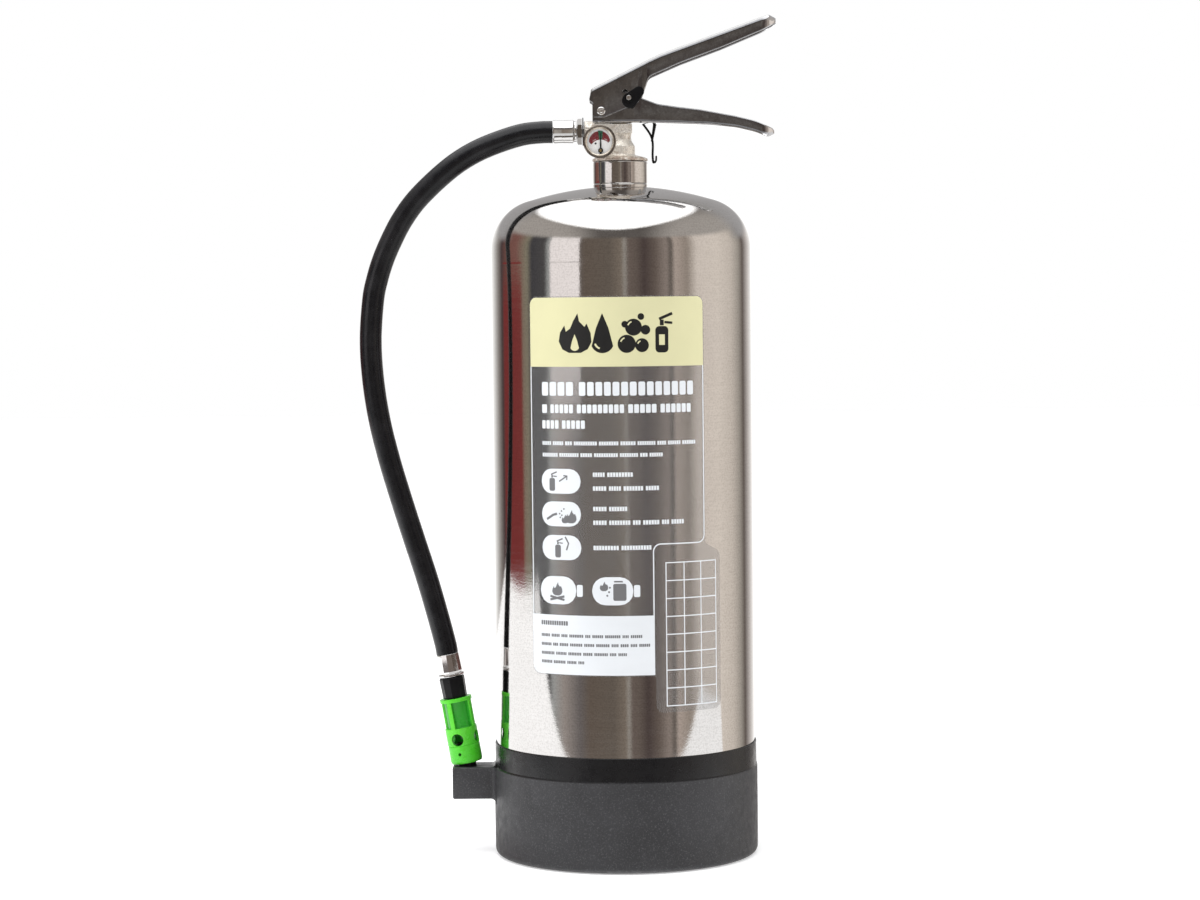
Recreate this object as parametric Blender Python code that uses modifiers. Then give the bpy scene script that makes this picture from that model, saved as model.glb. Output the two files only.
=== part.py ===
"""Stored-pressure foam fire extinguisher, 9 litre class, with a stainless cylinder.

Metres, +Z up. The origin is on the cylinder's axis at the floor, +X points to the lever tips and -Y is the
front, where the gauge is.
"""

import math

import bmesh
import bpy
from mathutils import Matrix, Vector

# Driving dimensions, in metres and degrees
GAP = 0.0003
MERGE = 0.00001
ROUND_STEPS = 36
SMALL_STEPS = 16

BODY_R = 0.0897
BODY_WALL = 0.0015
SHOULDER_Z = 0.4188
KNUCKLE_R = 0.0349
CROWN_R = 0.213
NECK_HOLE_R = 0.0132
FOOT_Z = 0.0032
FOOT_KNUCKLE_R = 0.015
FOOT_DISH_Z = 0.0115

BOOT_R = 0.0915
BOOT_BAND_R = 0.0909
BOOT_FLOOR = 0.0025
BOOT_BAND_Z = 0.0608
BOOT_TOP_Z = 0.0732
ARM_END_X = -0.1204
ARM_HALF_Y = 0.013
ARM_LOW_Z = 0.0388
ARM_TOP_Z = 0.0610
PEG_R = 0.0062
PEG_TOP = 0.0135
PEG_ROOT = 0.012

COLLAR_R = 0.0188
COLLAR_LOW_Z = 0.4623
COLLAR_TOP_Z = 0.4786
FLANGE_R = 0.0191
FLANGE_LOW_Z = 0.4790
PLUG_R = 0.0128
PLUG_LOW_Z = 0.4590
NECK_R = 0.0104
VALVE_TOP_Z = 0.5047
SEAT_Z = 0.4880
STEM_R = 0.0020
STEM_TOP_Z = 0.5348
CHAMBER_R = 0.0062

OUTLET_Z = 0.4997
OUTLET_SOCKET_R = 0.0044
HOSE_R = 0.0077
HOSE_START_X = -0.0464
HOSE_STEP = 0.031
HOSE_STRAIGHT = 0.006

GAUGE_X = -0.0138
GAUGE_Z = 0.4914
GAUGE_R = 0.0104
NEEDLE_DX = 0.0007
NEEDLE_DZ = -0.0060

PIVOT = Vector((-0.0126, 0.0, 0.5130))
PIVOT_HOLE_R = 0.0023
PIN = Vector((0.0064, 0.0, 0.5217))
PIN_R = 0.00175
PAST_THE_LEVER = 0.020
LEVER_TRAVEL = 12.0
LEVER_OUT_Y = 0.0132
LEVER_IN_Y = 0.0114
HANDLE_OUT_Y = 0.0110
HANDLE_IN_Y = 0.0092
SHEET = 0.0018

RING_R = 0.0115
RING_WIRE = 0.0009
RING_Y = 0.0178
RING_LEAN = 195.0

NOZZLE_BASE = Vector((-0.1108, 0.0, 0.0634))
NOZZLE_TILT = 9.6
NOZZLE_R = 0.0111
NOZZLE_LENGTH = 0.0456
NOZZLE_BORE_R = 0.0086
NOZZLE_THROAT_R = 0.0068
NOZZLE_THROAT_H = 0.0225
ADAPTOR_TOP_H = 0.0607
FERRULE_TOP_H = 0.0766

# The hose's route, from the valve's ferrule to the nozzle's: chosen points (x, z) in the plane y = 0
HOSE_ROUTE = [
    (-0.0689, 0.4978), (-0.0924, 0.4900), (-0.1099, 0.4809), (-0.1252, 0.4692), (-0.1407, 0.4542),
    (-0.1509, 0.4405), (-0.1584, 0.4267), (-0.1645, 0.4129), (-0.1689, 0.3991), (-0.1718, 0.3854),
    (-0.1739, 0.3578), (-0.1726, 0.3302), (-0.1686, 0.3024), (-0.1621, 0.2746), (-0.1541, 0.2468),
    (-0.1455, 0.2188), (-0.1368, 0.1909), (-0.1292, 0.1633),
]


# Scene, collections and materials

def clear_scene():
    for thing in list(bpy.data.objects):
        bpy.data.objects.remove(thing, do_unlink=True)


def new_collection(name):
    place = bpy.data.collections.new(name)
    bpy.context.scene.collection.children.link(place)
    return place


def principled(name, colour, roughness, metallic=0.0, transmission=0.0):
    material = bpy.data.materials.new(name)
    material.use_nodes = True
    shader = material.node_tree.nodes["Principled BSDF"]
    shader.inputs["Base Color"].default_value = (*colour, 1.0)
    shader.inputs["Roughness"].default_value = roughness
    shader.inputs["Metallic"].default_value = metallic
    shader.inputs["Transmission Weight"].default_value = transmission
    return material


clear_scene()
PARTS = new_collection("fire_extinguisher")
CUTTERS = new_collection("cutters")

STEEL = ("steel", (0.62, 0.61, 0.60), 0.22, 1.0)
CHROME = ("chrome", (0.80, 0.80, 0.80), 0.10, 1.0)
NICKEL = ("nickel", (0.66, 0.63, 0.57), 0.38, 1.0)
BRASS = ("brass", (0.72, 0.55, 0.25), 0.30, 1.0)
RUBBER = ("rubber", (0.02, 0.02, 0.022), 0.55)
BOOT_PLASTIC = ("boot_plastic", (0.075, 0.075, 0.08), 0.55)
BLACK_PLASTIC = ("black_plastic", (0.015, 0.015, 0.017), 0.40)
GREEN_PLASTIC = ("green_plastic", (0.05, 0.50, 0.03), 0.40)
WHITE_PLASTIC = ("white_plastic", (0.85, 0.85, 0.84), 0.50)
CLEAR = ("clear_plastic", (0.95, 0.97, 0.97), 0.05, 0.0, 1.0)


# Modelling helpers

def add_object(name, mesh, finish):
    """Link a mesh as a part, or as a wire cutter where it has no finish."""
    thing = bpy.data.objects.new(name, mesh)
    if finish is None:
        CUTTERS.objects.link(thing)
        thing.hide_render = True
        thing.display_type = "WIRE"
        return thing
    PARTS.objects.link(thing)
    mesh.materials.append(principled(name, *finish[1:]))
    return thing


def turned(name, profile, finish=None, steps=SMALL_STEPS, ring=False):
    """Spin (radius, height) points about Z. They run down the outer side, and a ring closes on its start."""
    edges = [(i, i + 1) for i in range(len(profile) - 1)]
    if ring:
        edges.append((len(profile) - 1, 0))
    mesh = bpy.data.meshes.new(name)
    mesh.from_pydata([(r, 0.0, z) for r, z in profile], edges, [])
    thing = add_object(name, mesh, finish)
    screw = thing.modifiers.new("Turn", "SCREW")
    screw.axis = "Z"
    screw.angle = math.tau
    screw.steps = steps
    screw.render_steps = steps
    screw.use_merge_vertices = True
    screw.merge_threshold = MERGE
    screw.use_smooth_shade = True
    return thing


def drum(name, radius, low, high, finish=None, sides=SMALL_STEPS):
    """A closed cylinder about Z, from low to high."""
    mesh = bpy.data.meshes.new(name)
    bm = bmesh.new()
    middle = Matrix.Translation((0, 0, (low + high) / 2))
    bmesh.ops.create_cone(
        bm, cap_ends=True, segments=sides, radius1=radius, radius2=radius, depth=high - low, matrix=middle
    )
    bm.to_mesh(mesh)
    bm.free()
    mesh.shade_smooth()
    mesh.set_sharp_from_angle(angle=math.radians(40))
    return add_object(name, mesh, finish)


def block(name, low, high, finish=None, bevel=0.0):
    """A box between two corners, with rounded edges where bevel is given."""
    low = Vector(low)
    high = Vector(high)
    mesh = bpy.data.meshes.new(name)
    bm = bmesh.new()
    bmesh.ops.create_cube(bm, size=1.0)
    bmesh.ops.scale(bm, vec=high - low, verts=bm.verts)
    bmesh.ops.translate(bm, vec=(low + high) / 2, verts=bm.verts)
    bm.to_mesh(mesh)
    bm.free()
    thing = add_object(name, mesh, finish)
    if bevel:
        rounding = thing.modifiers.new("Round", "BEVEL")
        rounding.width = bevel
        rounding.segments = 2
    return thing


def torus(name, major, minor, height, finish, sides=20):
    """A round wire or seal ring about Z."""
    circle = [(major + x, height + z) for x, z in arc(0, 0, minor, 90, -270, 8)[:-1]]
    return turned(name, circle, finish, steps=sides, ring=True)


def curve_object(name, points, dimensions, cyclic):
    data = bpy.data.curves.new(name, "CURVE")
    data.dimensions = dimensions
    spline = data.splines.new("POLY")
    spline.points.add(len(points) - 1)
    for slot, point in zip(spline.points, points):
        slot.co = (*point, 1.0)
    spline.use_cyclic_u = cyclic
    thing = bpy.data.objects.new(name, data)
    CUTTERS.objects.link(thing)
    return thing


def mesh_from_curve(guide, name, finish, weld):
    """Turn a guide curve into a closed mesh object with welded caps, and remove the curve."""
    bpy.context.view_layer.update()
    evaluated = guide.evaluated_get(bpy.context.evaluated_depsgraph_get())
    mesh = bpy.data.meshes.new_from_object(evaluated)
    mesh.name = name
    mesh.materials.clear()
    bm = bmesh.new()
    bm.from_mesh(mesh)
    bmesh.ops.remove_doubles(bm, verts=bm.verts, dist=weld)
    bmesh.ops.recalc_face_normals(bm, faces=bm.faces)
    bm.to_mesh(mesh)
    bm.free()
    thing = add_object(name, mesh, finish)
    thing.matrix_world = guide.matrix_world
    bpy.data.objects.remove(guide, do_unlink=True)
    return thing


def flat_solid(name, outline, low, high, finish=None):
    """A flat outline (x, y), extruded from height low to high."""
    guide = curve_object(name + "_outline", [(x, y, 0.0) for x, y in outline], "2D", True)
    guide.data.fill_mode = "BOTH"
    guide.data.extrude = (high - low) / 2
    thing = mesh_from_curve(guide, name, finish, MERGE)
    thing.data.transform(Matrix.Translation((0, 0, (low + high) / 2)))
    return thing


def side_solid(name, outline, half_width, finish=None, middle=0.0):
    """A side view outline (x, z), extruded along Y to both sides of the plane y = middle."""
    thing = flat_solid(name, outline, -half_width - middle, half_width - middle, finish)
    thing.data.transform(Matrix.Rotation(math.radians(90), 4, "X"))
    return thing


def cross_hole(name, middle, radius):
    """A round cutter along Y, right across the lever and the handle."""
    return side_solid(name, arc(middle.x, middle.z, radius, 0, 360, SMALL_STEPS)[:-1], PAST_THE_LEVER)


def wire(name, points, radius, resolution=2):
    """A round wire along 3D points, as a curve object with filled caps."""
    guide = curve_object(name + "_guide", points, "3D", False)
    guide.data.bevel_depth = radius
    guide.data.bevel_resolution = resolution
    guide.data.use_fill_caps = True
    return guide


def solid_wire(name, points, radius, finish=None, resolution=2):
    return mesh_from_curve(wire(name, points, radius, resolution), name, finish, MERGE)


def boolean(target, tool, operation):
    step = target.modifiers.new(tool.name, "BOOLEAN")
    step.operation = operation
    step.solver = "EXACT"
    step.object = tool


def cut(target, *tools):
    for tool in tools:
        boolean(target, tool, "DIFFERENCE")


def join(target, *tools):
    for tool in tools:
        boolean(target, tool, "UNION")


def face_front(thing, x, z):
    """Lay a piece turned about Z along -Y, through (x, z)."""
    thing.matrix_world = Matrix.Translation((x, 0, z)) @ Matrix.Rotation(math.radians(90), 4, "X")
    return thing


def face_left(thing, z):
    """Lay a piece turned about Z along -X, at height z."""
    thing.matrix_world = Matrix.Translation((0, 0, z)) @ Matrix.Rotation(math.radians(-90), 4, "Y")
    return thing


def joint_empty(name, matrix):
    empty = bpy.data.objects.new(name, None)
    empty.matrix_world = matrix
    PARTS.objects.link(empty)
    return empty


def hang(empty, *things):
    """Parent pieces to a joint's empty and leave them where they are."""
    bpy.context.view_layer.update()
    for thing in things:
        thing.parent = empty
        thing.matrix_parent_inverse = empty.matrix_world.inverted()


# Outline helpers

def arc(cx, cy, radius, start, end, pieces):
    """Points on an arc, both ends included; angles in degrees."""
    turns = [math.radians(start + (end - start) * i / pieces) for i in range(pieces + 1)]
    return [(cx + radius * math.cos(t), cy + radius * math.sin(t)) for t in turns]


def rounded(corners, pieces=3):
    """An outline from (x, y, radius) corners, each rounded with a tangent arc."""
    outline = []
    for i, (x, y, radius) in enumerate(corners):
        here = Vector((x, y))
        if not radius:
            outline.append((x, y))
            continue
        back = (Vector(corners[i - 1][:2]) - here).normalized()
        ahead = (Vector(corners[(i + 1) % len(corners)][:2]) - here).normalized()
        half = back.angle(ahead) / 2
        reach = radius / math.tan(half)
        centre = here + (back + ahead).normalized() * (radius / math.sin(half))
        first = here + back * reach - centre
        sweep = first.angle_signed(here + ahead * reach - centre)
        for k in range(pieces + 1):
            turn = Matrix.Rotation(-sweep * k / pieces, 2)
            outline.append(tuple(centre + turn @ first))
    return outline


def capsule(first, first_r, second, second_r, pieces=8):
    """The outline round two circles of unlike radius."""
    first = Vector(first)
    second = Vector(second)
    way = second - first
    heading = math.degrees(math.atan2(way.y, way.x))
    lean = math.degrees(math.acos((first_r - second_r) / way.length))
    near = arc(*first, first_r, heading + lean, heading + 360 - lean, 2 * pieces)
    far = arc(*second, second_r, heading - lean, heading + lean, pieces)
    return near + far


def plan_tongue(tip_x, half_width, tip_radius):
    """A plan view outline that is straight from the back and has a rounded end at tip_x."""
    return rounded([
        (-0.05, -half_width, 0), (tip_x, -half_width, tip_radius), (tip_x, half_width, tip_radius),
        (-0.05, half_width, 0),
    ], 6)


# Cylinder and boot

def head_points(inset):
    """The shoulder's profile from the neck hole out to the straight wall, inset from the outer face."""
    knuckle_r = KNUCKLE_R - inset
    crown_r = CROWN_R - inset
    middle_r = BODY_R - KNUCKLE_R
    lean = math.degrees(math.asin(middle_r / (CROWN_R - KNUCKLE_R)))
    crown_z = SHOULDER_Z - (CROWN_R - KNUCKLE_R) * math.cos(math.radians(lean))
    first = math.degrees(math.asin(NECK_HOLE_R / crown_r))
    crown = arc(0, crown_z, crown_r, 90 - first, 90 - lean, 4)
    return crown + arc(middle_r, SHOULDER_Z, knuckle_r, 90 - lean, 0, 6)[1:]


def foot_points(inset):
    """The base's profile from the straight wall to the axis: a knuckle, then a dish that rises inwards."""
    knuckle_x = BODY_R - FOOT_KNUCKLE_R
    knuckle_z = FOOT_Z + FOOT_KNUCKLE_R
    return arc(knuckle_x, knuckle_z, FOOT_KNUCKLE_R - inset, 0, -90, 3) + [
        (knuckle_x * 0.55, FOOT_Z + inset + 0.6 * (FOOT_DISH_Z - FOOT_Z)),
        (0, FOOT_DISH_Z + inset),
    ]


def make_cylinder():
    outer = head_points(0) + foot_points(0)
    inner = head_points(BODY_WALL) + foot_points(BODY_WALL)
    turned("cylinder_shell", inner[::-1] + outer, STEEL, ROUND_STEPS)


def nozzle_frame():
    return Matrix.Translation(NOZZLE_BASE) @ Matrix.Rotation(math.radians(-NOZZLE_TILT), 4, "Y")


def make_boot():
    inner_r = BODY_R + GAP
    rim = 0.0004
    cup = [(0, BOOT_FLOOR), (inner_r - 0.013, BOOT_FLOOR)]
    cup += arc(inner_r - 0.013, BOOT_FLOOR + 0.013, 0.013, -90, 0, 4)[1:]
    cup += [(inner_r, BOOT_TOP_Z), (BOOT_BAND_R, BOOT_TOP_Z - rim), (BOOT_BAND_R, BOOT_BAND_Z + 0.0008)]
    cup += [(BOOT_R, BOOT_BAND_Z)]
    cup += arc(BOOT_R - 0.004, 0.004, 0.004, 0, -90, 4)
    cup += [(0, 0)]
    boot = turned("base_boot", cup, BOOT_PLASTIC, ROUND_STEPS)
    arm = block(
        "arm", (ARM_END_X, -ARM_HALF_Y, ARM_LOW_Z), (-0.080, ARM_HALF_Y, ARM_TOP_Z), bevel=0.0012
    )
    cut(arm, drum("arm_hollow", (inner_r + BOOT_BAND_R) / 2, 0.03, 0.08, sides=96))
    peg = drum("peg", PEG_R, -PEG_ROOT, PEG_TOP)
    peg.matrix_world = nozzle_frame()
    join(boot, arm, peg)


# Neck, valve and siphon

def make_neck():
    groove_low = COLLAR_TOP_Z - 0.0024
    groove_r = 0.0158
    bore = NECK_HOLE_R
    ring = [
        (groove_r, COLLAR_TOP_Z), (COLLAR_R - 0.0004, COLLAR_TOP_Z), (COLLAR_R, COLLAR_TOP_Z - 0.0004),
        (COLLAR_R, 0.4662), (COLLAR_R - 0.0003, 0.4656), (COLLAR_R, 0.4650), (COLLAR_R, 0.4636),
        (0.0199, COLLAR_LOW_Z - 0.0004), (0.0180, COLLAR_LOW_Z - 0.0003), (bore, COLLAR_LOW_Z),
        (bore, groove_low), (groove_r, groove_low),
    ]
    turned("neck_collar", ring, STEEL, 24, ring=True)
    torus("neck_o_ring", 0.0144, 0.0009, groove_low + 0.0013, RUBBER)


def make_valve_body():
    core = [
        (0, VALVE_TOP_Z), (0.0080, VALVE_TOP_Z), (0.0080, 0.4975), (0.0077, 0.4948), (0.0082, 0.4928),
        (NECK_R, 0.4893), (NECK_R, 0.4832), (0.0172, 0.4816), (FLANGE_R, 0.4806), (FLANGE_R, FLANGE_LOW_Z),
        (PLUG_R, FLANGE_LOW_Z), (PLUG_R, PLUG_LOW_Z), (0, PLUG_LOW_Z),
    ]
    valve = turned("valve_body", core, NICKEL, 24)
    head = block("valve_head", (-0.0190, -0.0094, 0.4978), (0.0085, 0.0094, VALVE_TOP_Z - 0.0003))
    cheek = block("valve_cheek", (-0.0188, -0.0086, 0.4850), (-0.0010, 0.0086, 0.5010), bevel=0.002)
    lug_half = 0.0088
    lug_r = 0.0058
    lug_outline = [(PIVOT.x - lug_r, 0.5000), (PIVOT.x + lug_r, 0.5000)]
    lug_outline += arc(PIVOT.x, PIVOT.z, lug_r, 0, 180, 12)
    lug = side_solid("lug", lug_outline, lug_half)
    boss = face_left(drum("outlet_boss", 0.0072, 0.010, 0.0246), OUTLET_Z)
    join(valve, head, cheek, lug, boss)
    cut(
        valve,
        drum("lower_chamber", CHAMBER_R, 0.4500, SEAT_Z),
        drum("upper_chamber", 0.0036, 0.4860, 0.5010),
        drum("gland_hole", 0.0053, 0.4996, 0.5150),
        face_left(drum("outlet_bore", 0.0029, 0.0, 0.0300), OUTLET_Z),
        face_left(drum("outlet_socket", OUTLET_SOCKET_R, 0.0190, 0.0310), OUTLET_Z),
        face_front(drum("gauge_socket", 0.0032, 0.0040, 0.0200), GAUGE_X, GAUGE_Z),
        solid_wire("gauge_port", [(-0.0130, -0.0055, 0.4905), (-0.0040, -0.0010, 0.4850)], 0.0008),
        cross_hole("pivot_hole", PIVOT, PIVOT_HOLE_R),
    )


def make_stem():
    """The push rod with its poppet, the poppet's seal, the spring below it and the gland above."""
    poppet_top = SEAT_Z - 0.0024
    poppet_low = poppet_top - 0.0034
    cap_r = 0.0030
    cap_low = STEM_TOP_Z - 0.0040
    poppet_r = 0.0050
    guide_r = 0.0028
    guide_low = poppet_low - 0.0050
    rod = [
        (0, STEM_TOP_Z), (cap_r * 0.6, STEM_TOP_Z - 0.0004), (cap_r, STEM_TOP_Z - 0.0016), (cap_r, cap_low),
        (STEM_R, cap_low - 0.0010), (STEM_R, poppet_top), (poppet_r, poppet_top), (poppet_r, poppet_low),
        (guide_r, poppet_low), (guide_r, guide_low), (0, guide_low),
    ]
    stem = turned("valve_stem", rod, STEEL)
    washer_low = poppet_top + GAP
    washer_top = SEAT_Z - GAP
    bore = STEM_R + GAP
    washer = [(bore, washer_top), (poppet_r, washer_top), (poppet_r, washer_low), (bore, washer_low)]
    seal = turned("stem_seal", washer, RUBBER, ring=True)
    hang(joint_empty("stem_axis", Matrix.Translation((0, 0, SEAT_Z))), stem, seal)

    adaptor_top = 0.4660
    coil_r = 0.0042
    coil_wire = 0.00055
    coil_low = adaptor_top + GAP + coil_wire
    coil_high = poppet_low - GAP - coil_wire
    turns = 5
    per_turn = 8
    coil = []
    for i in range(turns * per_turn + 1):
        angle = math.tau * i / per_turn
        height = coil_low + (coil_high - coil_low) * i / (turns * per_turn)
        coil.append((coil_r * math.cos(angle), coil_r * math.sin(angle), height))
    solid_wire("valve_spring", coil, coil_wire, STEEL)

    nut_low = VALVE_TOP_Z - 0.0025
    nut_face = VALVE_TOP_Z + GAP + SHEET + GAP
    nut = [
        (bore, nut_face + 0.003), (0.0060, nut_face + 0.003), (0.0066, nut_face + 0.0024), (0.0066, nut_face),
        (0.0050, nut_face), (0.0050, nut_low), (bore, nut_low), (bore, 0.5036), (0.0039, 0.5036),
        (0.0039, 0.5056), (bore, 0.5056),
    ]
    turned("stem_gland_nut", nut, BRASS, ring=True)
    torus("stem_o_ring", 0.0030, 0.0007, 0.5046, RUBBER, 20)


def make_siphon():
    spigot = [
        (0.0027, 0.4660), (0.0059, 0.4660), (0.0059, 0.4570), (0.0037, 0.4570), (0.0037, 0.4470),
        (0.0027, 0.4470),
    ]
    turned("siphon_adaptor", spigot, BLACK_PLASTIC, ring=True)
    pipe = [(0.0040, 0.4567), (0.0050, 0.4567), (0.0050, 0.0230), (0.0040, 0.0230)]
    turned("siphon_tube", pipe, WHITE_PLASTIC, ring=True)
    cup = [(0, 0.0182), (0.0053, 0.0182), (0.0053, 0.0360), (0.0070, 0.0360), (0.0070, 0.0170), (0, 0.0170)]
    strainer = turned("siphon_strainer", cup, BLACK_PLASTIC)
    for i in range(3):
        slot = block("strainer_slot_%d" % i, (-0.010, -0.0008, 0.0190), (0.010, 0.0008, 0.0222))
        slot.rotation_euler.z = math.radians(60 * i)
        cut(strainer, slot)


# Handle, lever and safety pin

def make_handle():
    outline = rounded([
        (PIVOT.x - 0.0060, VALVE_TOP_Z + GAP, 0.002), (0.0143, VALVE_TOP_Z + GAP, 0), (0.0414, 0.5040, 0),
        (0.0620, 0.5030, 0), (0.0800, 0.5010, 0), (0.0930, 0.4978, 0), (0.1020, 0.4940, 0.001),
        (0.1070, 0.4975, 0.001), (0.1062, 0.5002, 0.002), (0.0930, 0.5056, 0), (0.0790, 0.5090, 0),
        (0.0551, 0.5136, 0), (0.0415, 0.5153, 0), (0.0262, 0.5176, 0), (0.0146, 0.5220, 0.003),
        (0.0100, 0.5262, 0.002), (0.0020, 0.5262, 0.003), (-0.0070, 0.5200, 0),
        (PIVOT.x - 0.0060, 0.5200, 0.004),
    ])
    handle = side_solid("carry_handle", outline, HANDLE_OUT_Y, STEEL)
    floor = VALVE_TOP_Z + GAP + SHEET
    trough = side_solid("handle_trough", [
        (-0.060, floor), (0.0143, floor), (0.0414, 0.5040 + SHEET), (0.0620, 0.5030 + SHEET),
        (0.0800, 0.5010 + SHEET), (0.0930, 0.4978 + SHEET), (0.1018, 0.4945 + SHEET), (0.1060, 0.5100),
        (0.1060, 0.5400), (-0.060, 0.5400),
    ], HANDLE_IN_Y)
    back_gap = block("handle_back_gap", (-0.060, -HANDLE_IN_Y, 0.4900), (-0.0062, HANDLE_IN_Y, 0.5300))
    tongue = flat_solid("handle_tongue", plan_tongue(0.1066, HANDLE_OUT_Y + 0.001, 0.009), 0.48, 0.55)
    boolean(handle, tongue, "INTERSECT")
    cut(handle, trough, back_gap, drum("gland_clearance", 0.0054, 0.4900, 0.5200))
    cut(
        handle,
        cross_hole("handle_pivot_hole", PIVOT, PIVOT_HOLE_R),
        cross_hole("handle_pin_hole", PIN, PIN_R + GAP),
    )


def pin_slot():
    """The arc-shaped hole in the lever's cheeks that the pin stands in, so that the lever turns past it."""
    reach = (PIN - PIVOT).length
    half = PIN_R + GAP
    start = math.degrees(math.atan2(PIN.z - PIVOT.z, PIN.x - PIVOT.x))
    end = start + LEVER_TRAVEL + 0.5
    first = PIVOT + reach * Vector((math.cos(math.radians(start)), 0, math.sin(math.radians(start))))
    last = PIVOT + reach * Vector((math.cos(math.radians(end)), 0, math.sin(math.radians(end))))
    outer = arc(PIVOT.x, PIVOT.z, reach + half, start, end, 4)
    inner = arc(PIVOT.x, PIVOT.z, reach - half, end, start, 4)
    far_cap = arc(last.x, last.z, half, end, end + 180, 6)[1:-1]
    near_cap = arc(first.x, first.z, half, start + 180, start + 360, 6)[1:-1]
    return outer + far_cap + inner + near_cap


def make_lever():
    outline = rounded([
        (-0.0175, 0.5084, 0.001), (-0.0104, 0.5085, 0), (0.0054, 0.5149, 0), (0.0129, 0.5186, 0.001),
        (0.0156, 0.5227, 0.002), (0.0202, 0.5360, 0.003), (0.0417, 0.5452, 0), (0.0705, 0.5556, 0),
        (0.1001, 0.5677, 0.002), (0.1088, 0.5740, 0.001), (0.1037, 0.5784, 0.003), (0.0950, 0.5752, 0),
        (0.0598, 0.5627, 0), (0.0270, 0.5512, 0), (-0.0192, 0.5284, 0.002), (-0.0206, 0.5210, 0.001),
        (-0.0180, 0.5181, 0),
    ])
    lever = side_solid("operating_lever", outline, LEVER_OUT_Y, STEEL)
    inside = side_solid("lever_channel", [
        (-0.0400, 0.5159), (0.0270, 0.5490), (0.0598, 0.5606), (0.0950, 0.5731), (0.1010, 0.5752),
        (0.1030, 0.5700), (0.1030, 0.4800), (-0.0400, 0.4800),
    ], LEVER_IN_Y)
    tongue = flat_solid("lever_tongue", plan_tongue(0.1084, LEVER_OUT_Y + 0.001, 0.010), 0.49, 0.60)
    boolean(lever, tongue, "INTERSECT")
    cut(
        lever,
        inside,
        cross_hole("lever_pivot_hole", PIVOT, PIVOT_HOLE_R),
        side_solid("lever_pin_slot", pin_slot(), PAST_THE_LEVER),
    )
    hang(joint_empty("lever_pivot", Matrix.Translation(PIVOT)), lever)
    shank = 0.0020
    face = LEVER_OUT_Y + GAP
    dome = [(0, face + 0.0013), (0.0016, face + 0.0012), (0.0026, face + 0.0008), (0.0029, face)]
    rivet = dome + [(shank, face)] + [(r, -z) for r, z in ([(shank, face)] + dome[::-1])]
    face_front(turned("lever_pivot_rivet", rivet, CHROME), PIVOT.x, PIVOT.z)


def make_safety_pin():
    front = -0.0176
    eye_low = RING_Y - 0.0024
    eye_high = RING_Y + 0.0026
    eye_r = 0.0029
    # Heights are along -Y, so the front end has the largest one
    profile = [(0, -front), (PIN_R - 0.0005, -front), (PIN_R, -front - 0.0006), (PIN_R, -eye_low)]
    profile += [(eye_r - 0.0006, -eye_low), (eye_r, -eye_low - 0.0006), (eye_r, -eye_high + 0.0008)]
    profile += [(eye_r - 0.0008, -eye_high), (0, -eye_high)]
    pin = face_front(turned("safety_pin", profile, STEEL), PIN.x, PIN.z)
    lean = math.radians(RING_LEAN)
    along = Vector((-math.sin(lean), 0, math.cos(lean)))
    eye = Vector((PIN.x, RING_Y, PIN.z))
    hole = solid_wire("pin_eye_hole", [eye - along * 0.006, eye + along * 0.006], 0.0016)
    cut(pin, hole)
    pin_axis = joint_empty("pin_axis", Matrix.Translation(PIN))
    hang(pin_axis, pin, hole)

    centre = eye + RING_R * Vector((math.cos(lean), 0, math.sin(lean)))
    ring = torus("pull_ring", RING_R, RING_WIRE, 0.0, STEEL, 28)
    ring.matrix_world = Matrix.Translation(centre) @ Matrix.Rotation(math.radians(90), 4, "X")
    ring_hinge = joint_empty("ring_hinge", Matrix.Translation(eye))
    hang(ring_hinge, ring)
    hang(pin_axis, ring_hinge)


def make_seal():
    """The black hub and lobe on the pin's front end, and the Y-shaped strap looped over its back."""
    front_face = LEVER_OUT_Y + GAP
    outline = capsule((0.0065, 0.5208), 0.0044, (0.0134, 0.5258), 0.0031)
    retainer = side_solid("pin_retainer", outline, 0.0013, BLACK_PLASTIC, -front_face - 0.0013)
    cut(retainer, cross_hole("retainer_hole", PIN, PIN_R + GAP))

    strap_y = 0.0146
    strap_r = 0.0008
    left = [
        (0.0245, 0.4792), (0.0232, 0.4788), (0.0226, 0.4830), (0.0223, 0.4950), (0.0169, 0.5044),
        (0.0080, 0.5150),
    ]
    over = arc(PIN.x, PIN.z, PIN_R + GAP + strap_r, 205, 35, 6)
    right = [(0.0150, 0.5200), (0.0220, 0.5150), (0.0246, 0.5080), (0.0246, 0.5050)]
    path = [(x, strap_y, z) for x, z in left + over + right]
    strap = solid_wire("tamper_seal", path, strap_r, BLACK_PLASTIC)
    arm = [(0.0248, strap_y, 0.5072), (0.0242, strap_y, 0.5030), (0.0222, strap_y, 0.4936)]
    hook = [(0.0232, strap_y, 0.4790), (0.0250, strap_y, 0.4800), (0.0252, strap_y, 0.4828)]
    join(strap, solid_wire("seal_right_arm", arm, 0.0010), solid_wire("seal_hook", hook, 0.00065))


# Gauge

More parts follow.
